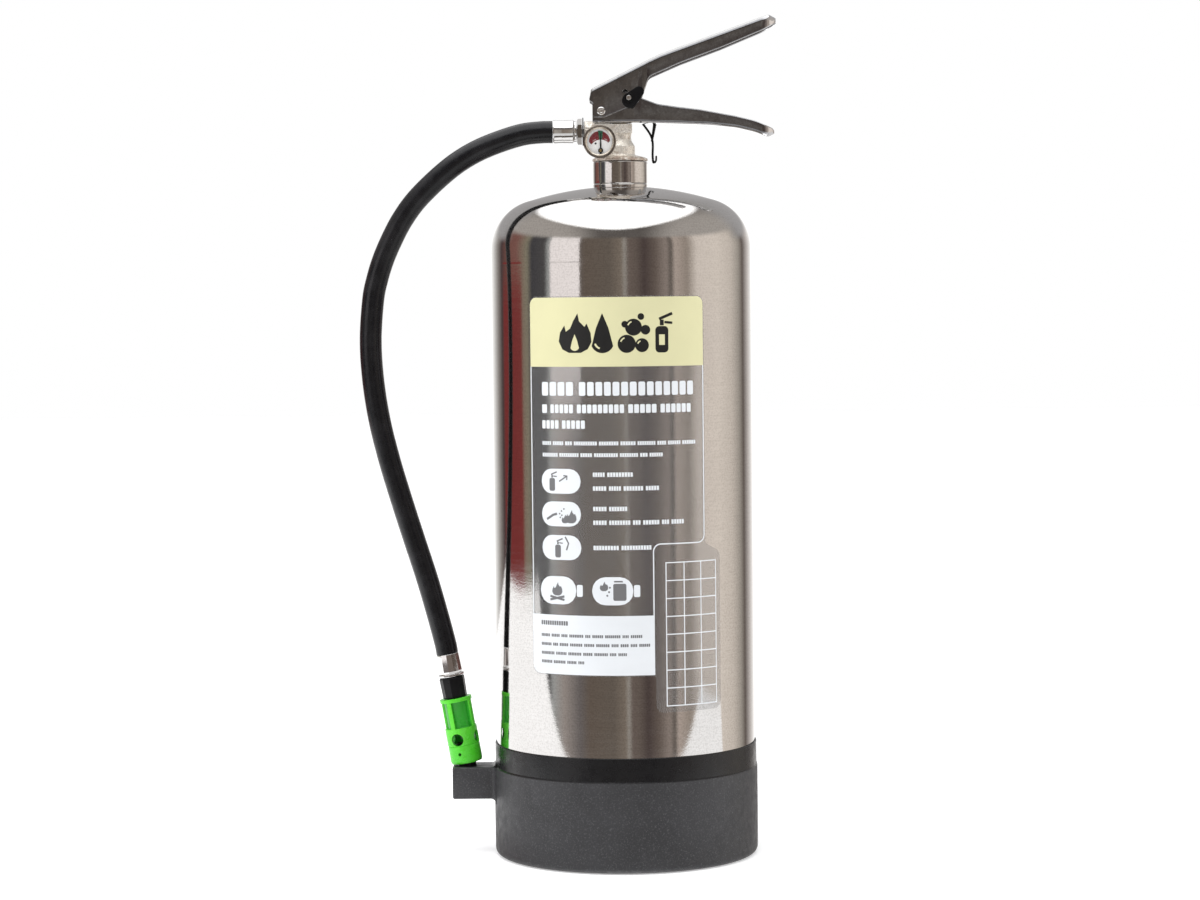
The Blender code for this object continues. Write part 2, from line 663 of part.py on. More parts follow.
def make_gauge():
    """The gauge's pieces are turned about the gauge's own axis; heights are distances in front of y = 0."""
    inner_r = GAUGE_R - 0.0009
    case = [
        (0, 0.0212), (inner_r, 0.0212), (inner_r, 0.0292), (GAUGE_R, 0.0292), (GAUGE_R, 0.0212),
        (GAUGE_R - 0.0012, 0.0200), (0.0046, 0.0200), (0.0046, 0.0162), (0.0029, 0.0162), (0.0029, 0.0045),
        (0, 0.0045),
    ]
    face_front(turned("gauge_case", case, STEEL), GAUGE_X, GAUGE_Z)

    tube_start = 230
    tube_sweep = 250
    spiral = []
    pieces = 16
    for i in range(pieces + 1):
        angle = math.radians(tube_start - tube_sweep * i / pieces)
        radius = 0.0072 - 0.0010 * i / pieces
        spiral.append((GAUGE_X + radius * math.cos(angle), -0.0236, GAUGE_Z + radius * math.sin(angle)))
    solid_wire("gauge_bourdon_tube", spiral, 0.0009, BRASS)

    needle_x = GAUGE_X + NEEDLE_DX
    needle_z = GAUGE_Z + NEEDLE_DZ
    face_r = inner_r - GAP
    dial = face_front(drum("gauge_dial", face_r, 0.0262, 0.0267, WHITE_PLASTIC, 24), GAUGE_X, GAUGE_Z)
    cut(dial, face_front(drum("arbor_hole", 0.0008, 0.0200, 0.0300, sides=12), needle_x, needle_z))

    needle = drum("gauge_needle", 0.0016, 0.0270, 0.0278, BLACK_PLASTIC, 16)
    face_front(needle, needle_x, needle_z)
    arbor = face_front(drum("arbor", 0.0005, 0.0250, 0.0272, sides=12), needle_x, needle_z)
    hand = [
        (-0.00035, -0.0030), (0.00035, -0.0030), (0.00035, 0.0060), (0.0001, 0.0118), (-0.0001, 0.0118),
        (-0.00035, 0.0060),
    ]
    pointer = flat_solid("pointer", hand, 0.0272, 0.0276)
    face_front(pointer, needle_x, needle_z)
    join(needle, arbor, pointer)
    needle_pivot = joint_empty("needle_pivot", Matrix.Translation((needle_x, 0, needle_z)))
    hang(needle_pivot, needle, arbor, pointer)

    face_front(drum("gauge_lens", face_r, 0.0283, 0.0291, CLEAR, 24), GAUGE_X, GAUGE_Z)
    lip_r = 0.0087
    skirt_r = GAUGE_R + GAP
    outer_r = skirt_r + 0.0005
    bezel = [
        (lip_r, 0.0299), (outer_r - 0.0006, 0.0303), (outer_r, 0.0298), (outer_r, 0.0240), (skirt_r, 0.0240),
        (skirt_r, 0.0295), (lip_r, 0.0294),
    ]
    face_front(turned("gauge_bezel", bezel, CHROME, 24, ring=True), GAUGE_X, GAUGE_Z)


# Outlet, hose and nozzle

def make_outlet():
    """Pieces on the outlet's axis; heights are distances to the left of x = 0."""
    bore = OUTLET_SOCKET_R
    washer = [(bore, 0.0257), (0.0096, 0.0257), (0.0096, 0.0250), (bore, 0.0250)]
    face_left(turned("outlet_washer", washer, RUBBER, ring=True), OUTLET_Z)
    nut = face_left(drum("hose_nut", 0.0089, 0.0261, 0.0294, NICKEL, 6), OUTLET_Z)
    cut(nut, face_left(drum("nut_bore", bore, 0.0200, 0.0400), OUTLET_Z))
    tail = [
        (0.0028, 0.0455), (0.0036, 0.0455), (0.0041, 0.0430), (0.0041, 0.0196), (0.0028, 0.0196),
    ]
    face_left(turned("hose_tail", tail, BRASS, ring=True), OUTLET_Z)
    start = -HOSE_START_X - GAP
    sleeve = [
        (bore, start), (0.0078, start), (0.0081, start - 0.0006), (0.0081, 0.0322), (0.0076, 0.0313),
        (0.0070, 0.0311), (0.0070, 0.0297), (bore, 0.0297),
    ]
    face_left(turned("hose_ferrule", sleeve, CHROME, ring=True), OUTLET_Z)


def smooth_path(points, step):
    """Points about a step apart on the smooth curve through the route's points."""
    dense = []
    for i in range(len(points) - 1):
        p0 = points[max(i - 1, 0)]
        p1 = points[i]
        p2 = points[i + 1]
        p3 = points[min(i + 2, len(points) - 1)]
        for k in range(20):
            t = k / 20
            dense.append(0.5 * (
                2 * p1 + (p2 - p0) * t + (2 * p0 - 5 * p1 + 4 * p2 - p3) * t ** 2
                + (3 * p1 - p0 - 3 * p2 + p3) * t ** 3
            ))
    dense.append(points[-1])
    lengths = [0.0]
    for a, b in zip(dense, dense[1:]):
        lengths.append(lengths[-1] + (b - a).length)
    count = round(lengths[-1] / step)
    path = []
    for i in range(count + 1):
        want = lengths[-1] * i / count
        k = next((j for j in range(1, len(dense)) if lengths[j] >= want - 1e-9), len(dense) - 1)
        share = (want - lengths[k - 1]) / (lengths[k] - lengths[k - 1])
        path.append(dense[k - 1].lerp(dense[k], share))
    return path


def hose_path():
    """The hose's points: straight out of each ferrule, with the smooth curve through the route between."""
    frame = nozzle_frame()
    start = Vector((HOSE_START_X, 0, OUTLET_Z))
    end = frame @ Vector((0, 0, FERRULE_TOP_H + GAP))
    middle = [start - Vector((HOSE_STRAIGHT, 0, 0))]
    middle += [Vector((x, 0, z)) for x, z in HOSE_ROUTE]
    middle += [frame @ Vector((0, 0, FERRULE_TOP_H + GAP + HOSE_STRAIGHT))]
    return [start] + smooth_path(middle, HOSE_STEP) + [end]


def make_hose():
    hose = wire("hose", hose_path(), HOSE_R, 4)
    hose.name = "hose"
    CUTTERS.objects.unlink(hose)
    PARTS.objects.link(hose)
    hose.data.materials.append(principled("hose", *RUBBER[1:]))


def make_nozzle():
    """Pieces on the nozzle's axis; heights are from its mouth, which stands on the boot's arm."""
    axis = joint_empty("nozzle_axis", nozzle_frame())
    tube = [
        (NOZZLE_THROAT_R, NOZZLE_LENGTH), (NOZZLE_R, NOZZLE_LENGTH), (NOZZLE_R, 0.0014),
        (NOZZLE_R - 0.0005, 0), (NOZZLE_BORE_R, 0), (NOZZLE_BORE_R, NOZZLE_THROAT_H),
        (NOZZLE_THROAT_R, NOZZLE_THROAT_H + 0.0018),
    ]
    nozzle = turned("foam_nozzle", tube, GREEN_PLASTIC, 24, ring=True)
    tools = []
    for i in range(4):
        window_turn = 13 + 90 * i
        window = block("window_%d" % i, (-0.0054, -0.016, 0.0245), (0.0054, -0.0083, 0.0434))
        window.rotation_euler.z = math.radians(window_turn)
        hole = drum("air_hole_%d" % i, 0.0043, 0.004, 0.016, sides=16)
        turn = Matrix.Rotation(math.radians(-18 + 90 * i), 4, "Z") @ Matrix.Translation((0, 0, 0.0170))
        hole.matrix_world = turn @ Matrix.Rotation(math.radians(90), 4, "X")
        tools += [window, hole]
    cut(nozzle, *tools)

    jet = [
        (0.0016, 0.0372), (0.0065, 0.0372), (0.0065, 0.0260), (0.0050, 0.0245), (0.0016, 0.0245),
    ]
    insert = turned("nozzle_jet", jet, BRASS, ring=True)
    shoulder = NOZZLE_LENGTH + GAP
    barb_r = 0.0037
    adaptor = [
        (0.0026, 0.0755), (barb_r, 0.0755), (barb_r, ADAPTOR_TOP_H), (0.0083, ADAPTOR_TOP_H),
        (0.0088, ADAPTOR_TOP_H - 0.0006), (0.0085, shoulder), (NOZZLE_THROAT_R - GAP, shoulder),
        (NOZZLE_THROAT_R - GAP, 0.0376), (0.0026, 0.0376),
    ]
    fitting = turned("nozzle_adaptor", adaptor, BLACK_PLASTIC, 12, ring=True)
    low = ADAPTOR_TOP_H + GAP
    inner = barb_r + GAP
    sleeve = [
        (inner, FERRULE_TOP_H), (0.0074, FERRULE_TOP_H), (0.0078, low + 0.0030), (0.0076, low + 0.0018),
        (0.0094, low + 0.0013), (0.0094, low), (inner, low),
    ]
    ferrule = turned("nozzle_ferrule", sleeve, CHROME, 12, ring=True)
    for thing in [nozzle, insert, fitting, ferrule, *tools]:
        thing.parent = axis


make_cylinder()
make_boot()
make_neck()
make_valve_body()
make_stem()
make_siphon()
make_handle()
make_lever()
make_safety_pin()
make_seal()
make_gauge()
make_outlet()
make_hose()
make_nozzle()
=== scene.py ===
"""Looks of a stainless foam fire extinguisher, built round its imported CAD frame.

Metres, +Z up. The origin is on the cylinder's axis at the floor.
+X points to the lever's tip and -Y is the front.
"""

import math
import random

import bmesh
import bpy
import numpy as np
from mathutils import Matrix, Vector


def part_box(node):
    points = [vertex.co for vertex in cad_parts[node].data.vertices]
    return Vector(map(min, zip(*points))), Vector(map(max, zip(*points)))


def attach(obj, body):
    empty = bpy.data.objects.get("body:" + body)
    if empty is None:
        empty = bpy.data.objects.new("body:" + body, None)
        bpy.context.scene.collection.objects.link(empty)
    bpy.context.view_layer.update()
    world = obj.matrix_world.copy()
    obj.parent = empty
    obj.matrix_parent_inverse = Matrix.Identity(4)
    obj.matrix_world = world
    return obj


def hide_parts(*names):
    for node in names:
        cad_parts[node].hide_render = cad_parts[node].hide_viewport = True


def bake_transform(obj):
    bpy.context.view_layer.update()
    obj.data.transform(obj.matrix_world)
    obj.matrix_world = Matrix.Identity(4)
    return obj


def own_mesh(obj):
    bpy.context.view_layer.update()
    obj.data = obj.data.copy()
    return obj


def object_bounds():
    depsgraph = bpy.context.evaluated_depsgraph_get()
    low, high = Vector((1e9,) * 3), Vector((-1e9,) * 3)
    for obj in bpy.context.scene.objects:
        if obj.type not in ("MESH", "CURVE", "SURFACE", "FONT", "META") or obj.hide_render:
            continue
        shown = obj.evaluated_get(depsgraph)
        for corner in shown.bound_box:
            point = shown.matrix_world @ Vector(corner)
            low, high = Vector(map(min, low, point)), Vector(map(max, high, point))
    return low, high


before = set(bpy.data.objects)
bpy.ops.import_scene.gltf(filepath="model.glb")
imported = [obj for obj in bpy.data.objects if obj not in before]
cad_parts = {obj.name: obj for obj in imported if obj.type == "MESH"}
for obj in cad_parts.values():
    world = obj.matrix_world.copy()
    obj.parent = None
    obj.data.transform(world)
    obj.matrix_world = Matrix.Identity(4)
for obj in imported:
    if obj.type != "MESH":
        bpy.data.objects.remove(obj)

CAD_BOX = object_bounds()
MM = 0.001

# The frame's own sizes
BODY_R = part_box("cylinder_shell")[1].x
BOOT_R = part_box("base_boot")[1].x
BOOT_TOP_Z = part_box("base_boot")[1].z
ARM_END_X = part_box("base_boot")[0].x
COLLAR_LOW_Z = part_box("neck_collar")[0].z + 0.0004
COLLAR_TOP_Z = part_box("neck_collar")[1].z
COLLAR_R = 0.0188
NECK_BORE_R = 0.0132
FLANGE_TOP_Z = 0.4816
SHOULDER_Z = 0.4188
KNUCKLE_R = 0.0349
CROWN_R = 0.213
BOOT_BAND_Z = 0.0608
BOOT_BAND_R = 0.0909
PEG_R = 0.0062
PEG_TOP = 0.0135
OUTLET_Z = 0.4997
GAUGE_X = -0.0138
GAUGE_Z = 0.4914
GAUGE_R = 0.0104
DIAL_FACE = 0.0267
NEEDLE_X = GAUGE_X + 0.0007
NEEDLE_Z = GAUGE_Z - 0.0060
PIVOT = Vector((-0.0126, 0.0, 0.5130))
PIVOT_HOLE_R = 0.0023
PIN = Vector((0.0064, 0.0, 0.5217))
PIN_R = 0.00175
RING_R = 0.0115
RING_WIRE = 0.0009
RING_Y = 0.0178
RING_LEAN = 195.0
LEVER_HALF = 0.0132
LEVER_TRAVEL = 12.0
HANDLE_HALF = 0.0110
SHEET = 0.0018
GAP = 0.0003

NOZZLE_BASE = Vector((-0.1108, 0.0, 0.0634))
NOZZLE_TILT = 9.6
NOZZLE_R = 0.0111
NOZZLE_LENGTH = 0.0456
ADAPTOR_TOP_H = 0.0607
FERRULE_TOP_H = 0.0766

HOSE_R = 0.0077
HOSE_EXIT = Vector((-0.0464, 0.0, OUTLET_Z))
HOSE_STRAIGHT = 0.006
HOSE_STEP = 0.003

# The hose's route from the valve's ferrule to the nozzle's, as (x, z) in the plane y = 0
HOSE_ROUTE = [
    (-0.0689, 0.4978), (-0.0924, 0.4900), (-0.1099, 0.4809), (-0.1252, 0.4692), (-0.1407, 0.4542),
    (-0.1509, 0.4405), (-0.1584, 0.4267), (-0.1645, 0.4129), (-0.1689, 0.3991), (-0.1718, 0.3854),
    (-0.1739, 0.3578), (-0.1726, 0.3302), (-0.1686, 0.3024), (-0.1621, 0.2746), (-0.1541, 0.2468),
    (-0.1455, 0.2188), (-0.1368, 0.1909), (-0.1292, 0.1633),
]


# Meshes

def piece(bm, name, finish, sharp=35):
    """Make an object of a finished mesh, smooth but for edges sharper than the angle."""
    bmesh.ops.recalc_face_normals(bm, faces=bm.faces)
    mesh = bpy.data.meshes.new(name)
    bm.to_mesh(mesh)
    bm.free()
    mesh.shade_smooth()
    mesh.set_sharp_from_angle(angle=math.radians(sharp))
    if finish:
        mesh.materials.append(finish.material)
    thing = bpy.data.objects.new(name, mesh)
    bpy.context.scene.collection.objects.link(thing)
    return thing


def freeze(thing, sharp=35):
    """Apply a piece's modifiers to its mesh."""
    bpy.context.view_layer.update()
    graph = bpy.context.evaluated_depsgraph_get()
    mesh = bpy.data.meshes.new_from_object(thing.evaluated_get(graph))
    mesh.set_sharp_from_angle(angle=math.radians(sharp))
    thing.modifiers.clear()
    thing.data = mesh


def carve(target, *tools, operation="DIFFERENCE"):
    """Cut the tools from a piece, or join them to it, and remove them."""
    for tool in tools:
        step = target.modifiers.new(tool.name, "BOOLEAN")
        step.operation = operation
        step.object = tool
    freeze(target)
    for tool in tools:
        bpy.data.objects.remove(tool)


def place(thing, matrix):
    """Move a piece's mesh, so that its object stays at the origin."""
    thing.data.transform(matrix)
    return thing


def arc(cx, cy, radius, start, end, pieces):
    """Points on an arc, both ends included; angles in degrees."""
    turns = [math.radians(start + (end - start) * i / pieces) for i in range(pieces + 1)]
    return [(cx + radius * math.cos(t), cy + radius * math.sin(t)) for t in turns]


def disc(cx, cy, radius, pieces=20):
    """A round outline."""
    return arc(cx, cy, radius, 0, 360, pieces)[:-1]


def soften(corners, closed=True, pieces=4):
    """An outline from (x, y) or (x, y, radius) corners, the latter rounded with a tangent arc."""
    outline = []
    last = len(corners) - 1
    for i, corner in enumerate(corners):
        radius = corner[2] if len(corner) > 2 else 0
        if not radius or (not closed and i in (0, last)):
            outline.append(tuple(corner[:2]))
            continue
        here = Vector(corner[:2])
        back = Vector(corners[i - 1][:2]) - here
        ahead = Vector(corners[(i + 1) % len(corners)][:2]) - here
        half = back.angle(ahead) / 2
        reach = min(radius / math.tan(half), 0.48 * back.length, 0.48 * ahead.length)
        back.normalize()
        ahead.normalize()
        centre = here + (back + ahead).normalized() * (reach / math.cos(half))
        first = here + back * reach - centre
        sweep = first.angle_signed(here + ahead * reach - centre)
        for k in range(pieces + 1):
            outline.append(tuple(centre + Matrix.Rotation(-sweep * k / pieces, 2) @ first))
    return outline


def lathe(name, corners, finish=None, steps=96, ring=False, turn=360.0, pieces=4, sharp=35):
    """Spin a profile of (radius, height[, fillet]) corners about Z."""
    outline = soften(corners, ring, pieces)
    bm = bmesh.new()
    verts = [bm.verts.new((r, 0, z)) for r, z in outline]
    edges = [bm.edges.new(pair) for pair in zip(verts, verts[1:])]
    if ring:
        edges.append(bm.edges.new((verts[-1], verts[0])))
    whole = turn >= 360.0
    if ring and not whole:
        bm.faces.new(verts)
    geometry = bm.faces[:] if ring and not whole else verts + edges
    bmesh.ops.spin(
        bm, geom=geometry, cent=(0, 0, 0), axis=(0, 0, 1), angle=math.radians(turn), steps=steps,
        use_merge=whole, use_duplicate=False,
    )
    bmesh.ops.remove_doubles(bm, verts=bm.verts, dist=1e-7)
    return piece(bm, name, finish, sharp)


def loft(name, rings, finish=None, loop=False, sharp=35):
    """Skin a row of closed rings that have the same number of points, with flat ends unless it is a loop."""
    bm = bmesh.new()
    rows = [[bm.verts.new(p) for p in ring] for ring in rings]
    count = len(rows[0])
    pairs = list(zip(rows, rows[1:])) + ([(rows[-1], rows[0])] if loop else [])
    for a, b in pairs:
        for i in range(count):
            j = (i + 1) % count
            bm.faces.new((a[i], a[j], b[j], b[i]))
    if not loop:
        bm.faces.new(rows[0])
        bm.faces.new(rows[-1])
    return piece(bm, name, finish, sharp)


def tube(name, points, radii, finish=None, sides=16, loop=False, ends=False):
    """A round tube along 3D points, with one radius or a list of them, and domed ends where ends is set."""
    points = [Vector(p) for p in points]
    if not isinstance(radii, (list, tuple)):
        radii = [radii] * len(points)
    if ends:
        first = (points[0] - points[1]).normalized() * radii[0]
        last = (points[-1] - points[-2]).normalized() * radii[-1]
        domes = [(0.95, 0.30), (0.78, 0.62), (0.45, 0.87)]
        points = (
            [points[0] + first * away for _, away in domes[::-1]] + points
            + [points[-1] + last * away for _, away in domes]
        )
        radii = (
            [radii[0] * share for share, _ in domes[::-1]] + list(radii)
            + [radii[-1] * share for share, _ in domes]
        )
    count = len(points)
    side = None
    rings = []
    for i, point in enumerate(points):
        ahead = points[(i + 1) % count] if loop else points[min(i + 1, count - 1)]
        behind = points[i - 1] if loop else points[max(i - 1, 0)]
        way = (ahead - behind).normalized()
        if side is None:
            side = way.orthogonal().normalized()
        side = (side - way * side.dot(way)).normalized()
        up = way.cross(side)
        rings.append([
            point + radii[i] * (side * math.cos(t) + up * math.sin(t))
            for t in (math.tau * k / sides for k in range(sides))
        ])
    return loft(name, rings, finish, loop)


def prism(name, outline, low, high, finish=None, bevel=0.0):
    """A flat outline (x, y) from height low to high, with its rims rounded where bevel is set."""
    bm = bmesh.new()
    bottom = bm.faces.new([bm.verts.new((x, y, low)) for x, y in outline])
    grown = bmesh.ops.extrude_face_region(bm, geom=[bottom])
    top = [v for v in grown["geom"] if isinstance(v, bmesh.types.BMVert)]
    bmesh.ops.translate(bm, verts=top, vec=(0, 0, high - low))
    if bevel:
        rims = [e for e in bm.edges if abs(e.verts[0].co.z - e.verts[1].co.z) < 1e-9]
        bmesh.ops.bevel(bm, geom=rims, offset=bevel, segments=2, profile=0.5, affect="EDGES")
    return piece(bm, name, finish)


TO_SIDE = Matrix.Rotation(math.radians(90), 4, "X")


def side_prism(name, outline, near_y, far_y, finish=None, bevel=0.0):
    """A side view outline (x, z), from y = near_y in front to y = far_y behind."""
    return place(prism(name, outline, -far_y, -near_y, finish, bevel), TO_SIDE)


def block(name, low, high, finish=None, bevel=0.0):
    """A box between two corners, with all its edges rounded where bevel is set."""
    low = Vector(low)
    high = Vector(high)
    bm = bmesh.new()
    bmesh.ops.create_cube(bm, size=1.0)
    bmesh.ops.scale(bm, vec=high - low, verts=bm.verts)
    bmesh.ops.translate(bm, vec=(low + high) / 2, verts=bm.verts)
    if bevel:
        bmesh.ops.bevel(bm, geom=bm.edges[:], offset=bevel, segments=3, profile=0.5, affect="EDGES")
    return piece(bm, name, finish)


def face_front(thing, x, z):
    """Lay a piece made about Z along -Y, through (x, z)."""
    return place(thing, Matrix.Translation((x, 0, z)) @ TO_SIDE)


def face_left(thing, z):
    """Lay a piece made about Z along -X, at height z."""
    return place(thing, Matrix.Translation((0, 0, z)) @ Matrix.Rotation(math.radians(-90), 4, "Y"))


def cross_hole(middle, radius):
    """A round cutter along Y, right across the lever and the handle."""
    return side_prism("hole", disc(middle.x, middle.z, radius, 24), -0.02, 0.02)


def set_on(thing, body, slot, *nodes):
    """Say which body a piece rides on and which CAD nodes it stands for; the slot argument is not used."""
    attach(thing, body)
    if nodes:
        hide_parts(*nodes)


# Materials: patterns are laid out in the row frame, in metres

class Nodes:
    """A node tree, with short ways to add the nodes that its patterns are made of."""

    def __init__(self, tree):
        self.tree = tree

    def node(self, kind, **settings):
        made = self.tree.nodes.new(kind)
        for key, value in settings.items():
            setattr(made, key, value)
        return made

    def link(self, source, target):
        self.tree.links.new(source, target)

    def feed(self, value, socket):
        """Set a socket to a number or a colour, or link it to another socket."""
        if isinstance(value, tuple):
            socket.default_value = (*value, 1.0)
        elif isinstance(value, (int, float)):
            socket.default_value = value
        else:
            self.link(value, socket)

    def combine(self, first, second, operation="MULTIPLY"):
        made = self.node("ShaderNodeMath", operation=operation)
        self.feed(first, made.inputs[0])
        self.feed(second, made.inputs[1])
        return made.outputs[0]

    def remap(self, source, low, high, to_low=0.0, to_high=1.0):
        made = self.node("ShaderNodeMapRange", interpolation_type="SMOOTHSTEP")
        self.link(source, made.inputs["Value"])
        for socket, value in zip(("From Min", "From Max", "To Min", "To Max"), (low, high, to_low, to_high)):
            made.inputs[socket].default_value = value
        return made.outputs["Result"]

    def mix(self, factor, first, second):
        """Go from the first colour to the second as the factor rises to one."""
        made = self.node("ShaderNodeMix", data_type="RGBA")
        self.link(factor, made.inputs["Factor"])
        self.feed(first, made.inputs["A"])
        self.feed(second, made.inputs["B"])
        return made.outputs["Result"]

    def axes(self, source):
        """The X, Y and Z of a vector."""
        made = self.node("ShaderNodeSeparateXYZ")
        self.link(source, made.inputs[0])
        return made.outputs

    def alter(self, source, operation, by):
        """Vector maths with a constant."""
        made = self.node("ShaderNodeVectorMath", operation=operation)
        self.link(source, made.inputs[0])
        made.inputs[1].default_value = by
        return made.outputs[0]

    def length(self, source):
        made = self.node("ShaderNodeVectorMath", operation="LENGTH")
        self.link(source, made.inputs[0])
        return made.outputs["Value"]


class Finish(Nodes):
    """A material: a plain colour, and patterns laid over it."""

    def __init__(self, name, colour, roughness, metallic=0.0, **sockets):
        self.material = bpy.data.materials.new(name)
        self.material.use_nodes = True
        super().__init__(self.material.node_tree)
        self.shader = self.tree.nodes["Principled BSDF"]
        self.colour = colour
        self.feed(colour, self.shader.inputs["Base Color"])
        for socket, value in {"Roughness": roughness, "Metallic": metallic, **sockets}.items():
            self.shader.inputs[socket.replace("_", " ")].default_value = value
        self.place = self.node("ShaderNodeTexCoord").outputs["Object"]
        self.normal = None

    def spot(self, stretch):
        """The place, drawn out along the axes by stretch."""
        return self.place if stretch == (1, 1, 1) else self.alter(self.place, "DIVIDE", stretch)

    def noise(self, size, detail=2.0, stretch=(1, 1, 1), rough=0.5):
        made = self.node("ShaderNodeTexNoise")
        self.link(self.spot(stretch), made.inputs["Vector"])
        for socket, value in (("Scale", 1.0 / size), ("Detail", detail), ("Roughness", rough)):
            made.inputs[socket].default_value = value
        return made.outputs["Fac"]

    def cells(self, size):
        made = self.node("ShaderNodeTexVoronoi")
        self.link(self.place, made.inputs["Vector"])
        made.inputs["Scale"].default_value = 1.0 / size
        return made.outputs["Distance"]

    def tint(self, factor, colour):
        """Mix another colour over the present one by factor."""
        base = self.shader.inputs["Base Color"]
        present = base.links[0].from_socket if base.is_linked else self.colour
        self.link(self.mix(factor, present, colour), base)

    def mottle(self, size, detail, low, high, amount, colour):
        """Mix another colour over the present one in patches of about a size."""
        self.tint(self.remap(self.noise(size, detail), low, high, 0, amount), colour)

    def rough(self, source, low, high):
        """Let a pattern drive the roughness between two values."""
        self.link(self.remap(source, 0.3, 0.7, low, high), self.shader.inputs["Roughness"])

    def bump(self, height, depth):
        """Add relief of the given depth in metres."""
        made = self.node("ShaderNodeBump")
        made.inputs["Strength"].default_value = 1.0
        made.inputs["Distance"].default_value = depth
        self.link(height, made.inputs["Height"])
        if self.normal:
            self.link(self.normal, made.inputs["Normal"])
        self.normal = made.outputs["Normal"]
        self.link(self.normal, self.shader.inputs["Normal"])


def polished_stainless():
    f = Finish("polished_stainless", (0.68, 0.666, 0.655), 0.06, 1.0)
    grain = f.noise(0.00045, 3, (30, 30, 1))
    f.mottle(0.05, 3, 0.35, 0.7, 0.5, (0.62, 0.604, 0.592))
    f.tint(f.remap(grain, 0.35, 0.75, 0, 0.5), (0.56, 0.546, 0.534))
    f.mottle(0.0012, 2, 0.42, 0.68, 0.5, (0.51, 0.495, 0.483))
    f.rough(f.noise(0.004, 4, (6, 6, 1)), 0.035, 0.085)
    f.bump(grain, 0.0000030)
    f.bump(f.noise(0.0011, 3), 0.000013)
    return f


def pressed_stainless():
    """Pressed sheet: dull dark flanks, with painted highlights on the top, the underside and the tips."""
    f = Finish("pressed_stainless", (0.255, 0.258, 0.272), 0.15, 1.0)
    f.mottle(0.008, 4, 0.40, 0.72, 0.7, (0.18, 0.176, 0.184))
    f.mottle(0.0009, 3, 0.52, 0.75, 0.5, (0.42, 0.42, 0.435))
    # Painted highlight: faces turned up or down, the top and the underside, are made lighter than the
    # flanks.
    facing = f.axes(f.node("ShaderNodeTexCoord").outputs["Normal"])
    flank = f.combine(facing["Y"], 0.0, "ABSOLUTE")
    f.tint(f.remap(flank, 0.45, 0.95, 0.85, 0.0), (0.62, 0.615, 0.61))
    # Painted highlight on the tips, in patches.
    tip_highlight = f.remap(f.axes(f.place)["X"], 0.096, 0.104, 0, 0.85)
    f.tint(f.combine(tip_highlight, f.remap(f.noise(0.003, 3), 0.20, 0.50)), (0.80, 0.80, 0.82))
    f.rough(f.noise(0.0020, 4), 0.09, 0.20)
    f.bump(f.noise(0.0005, 3), 0.000008)
    f.bump(f.noise(0.0030, 3), 0.000020)
    return f


def plated_casting():
    """A plated casting: brown patches laid at random, partly its tone and partly painted shade, pale specks
    of painted highlight, and a browner flange at its foot.
    """
    f = Finish("plated_casting", (0.88, 0.83, 0.75), 0.30, 0.6)
    # Brown patches: the casting's own tone, and painted shade.
    f.mottle(0.0035, 5, 0.50, 0.72, 0.65, (0.52, 0.43, 0.33))
    # Pale specks: painted highlights.
    f.mottle(0.0010, 4, 0.56, 0.74, 0.6, (0.96, 0.94, 0.90))
    f.mottle(0.0007, 3, 0.62, 0.78, 0.6, (0.30, 0.22, 0.16))
    low = f.remap(f.axes(f.place)["Z"], FLANGE_TOP_Z, FLANGE_TOP_Z + 0.0012, 0.7, 0.0)
    f.tint(f.combine(low, f.remap(f.noise(0.003, 3), 0.30, 0.60)), (0.36, 0.24, 0.17))
    f.rough(f.noise(0.0016, 3), 0.22, 0.46)
    f.bump(f.noise(0.0009, 4), 0.00035)
    f.bump(f.noise(0.0028, 3), 0.00050)
    return f


def bright_plate(name="bright_chrome", colour=(0.82, 0.82, 0.82)):
    f = Finish(name, colour, 0.07, 1.0)
    f.rough(f.noise(0.003, 4), 0.04, 0.14)
    f.mottle(0.0022, 4, 0.50, 0.75, 0.35, tuple(0.8 * c for c in colour))
    f.bump(f.noise(0.0014, 3), 0.000006)
    return f


def drawn_steel():
    f = Finish("plain_steel", (0.62, 0.61, 0.60), 0.22, 1.0)
    f.rough(f.noise(0.0007, 3, (1, 8, 1)), 0.14, 0.34)
    f.mottle(0.002, 4, 0.5, 0.75, 0.5, (0.42, 0.41, 0.40))
    f.bump(f.noise(0.0005, 3, (1, 8, 1)), 0.00001)
    return f


def turned_brass():
    f = Finish("brass", (0.74, 0.55, 0.25), 0.26, 1.0)
    f.rough(f.noise(0.001, 3), 0.18, 0.38)
    f.mottle(0.004, 4, 0.45, 0.7, 0.6, (0.52, 0.36, 0.15))
    f.bump(f.noise(0.0004, 2, (6, 6, 1)), 0.00001)
    return f


def moulded(name, colour, dark, roughness, grain, depth, speck=None, **sockets):
    """Moulded plastic: slow colour drift, a fine grain and, where given, pale specks."""
    f = Finish(name, colour, roughness, **sockets)
    f.mottle(0.03, 3, 0.35, 0.7, 0.7, dark)
    if speck:
        f.tint(f.remap(f.noise(0.0011, 4, rough=0.7), 0.50, 0.72, 0, 1.0), speck)
    f.rough(f.noise(0.006, 4), roughness * 0.85, roughness * 1.15)
    f.bump(f.cells(grain), depth)
    f.bump(f.noise(grain * 3, 3), depth * 0.8)
    return f


def hose_rubber():
    f = Finish("hose_rubber", (0.0035, 0.0038, 0.0055), 0.27, Specular_IOR_Level=0.45)
    f.mottle(0.012, 4, 0.40, 0.70, 0.8, (0.010, 0.010, 0.012))
    f.mottle(0.0009, 4, 0.62, 0.80, 0.6, (0.024, 0.025, 0.029))
    f.rough(f.noise(0.004, 4), 0.22, 0.34)
    f.bump(f.noise(0.0010, 3), 0.000015)
    f.bump(f.noise(0.0060, 2), 0.00004)
    return f


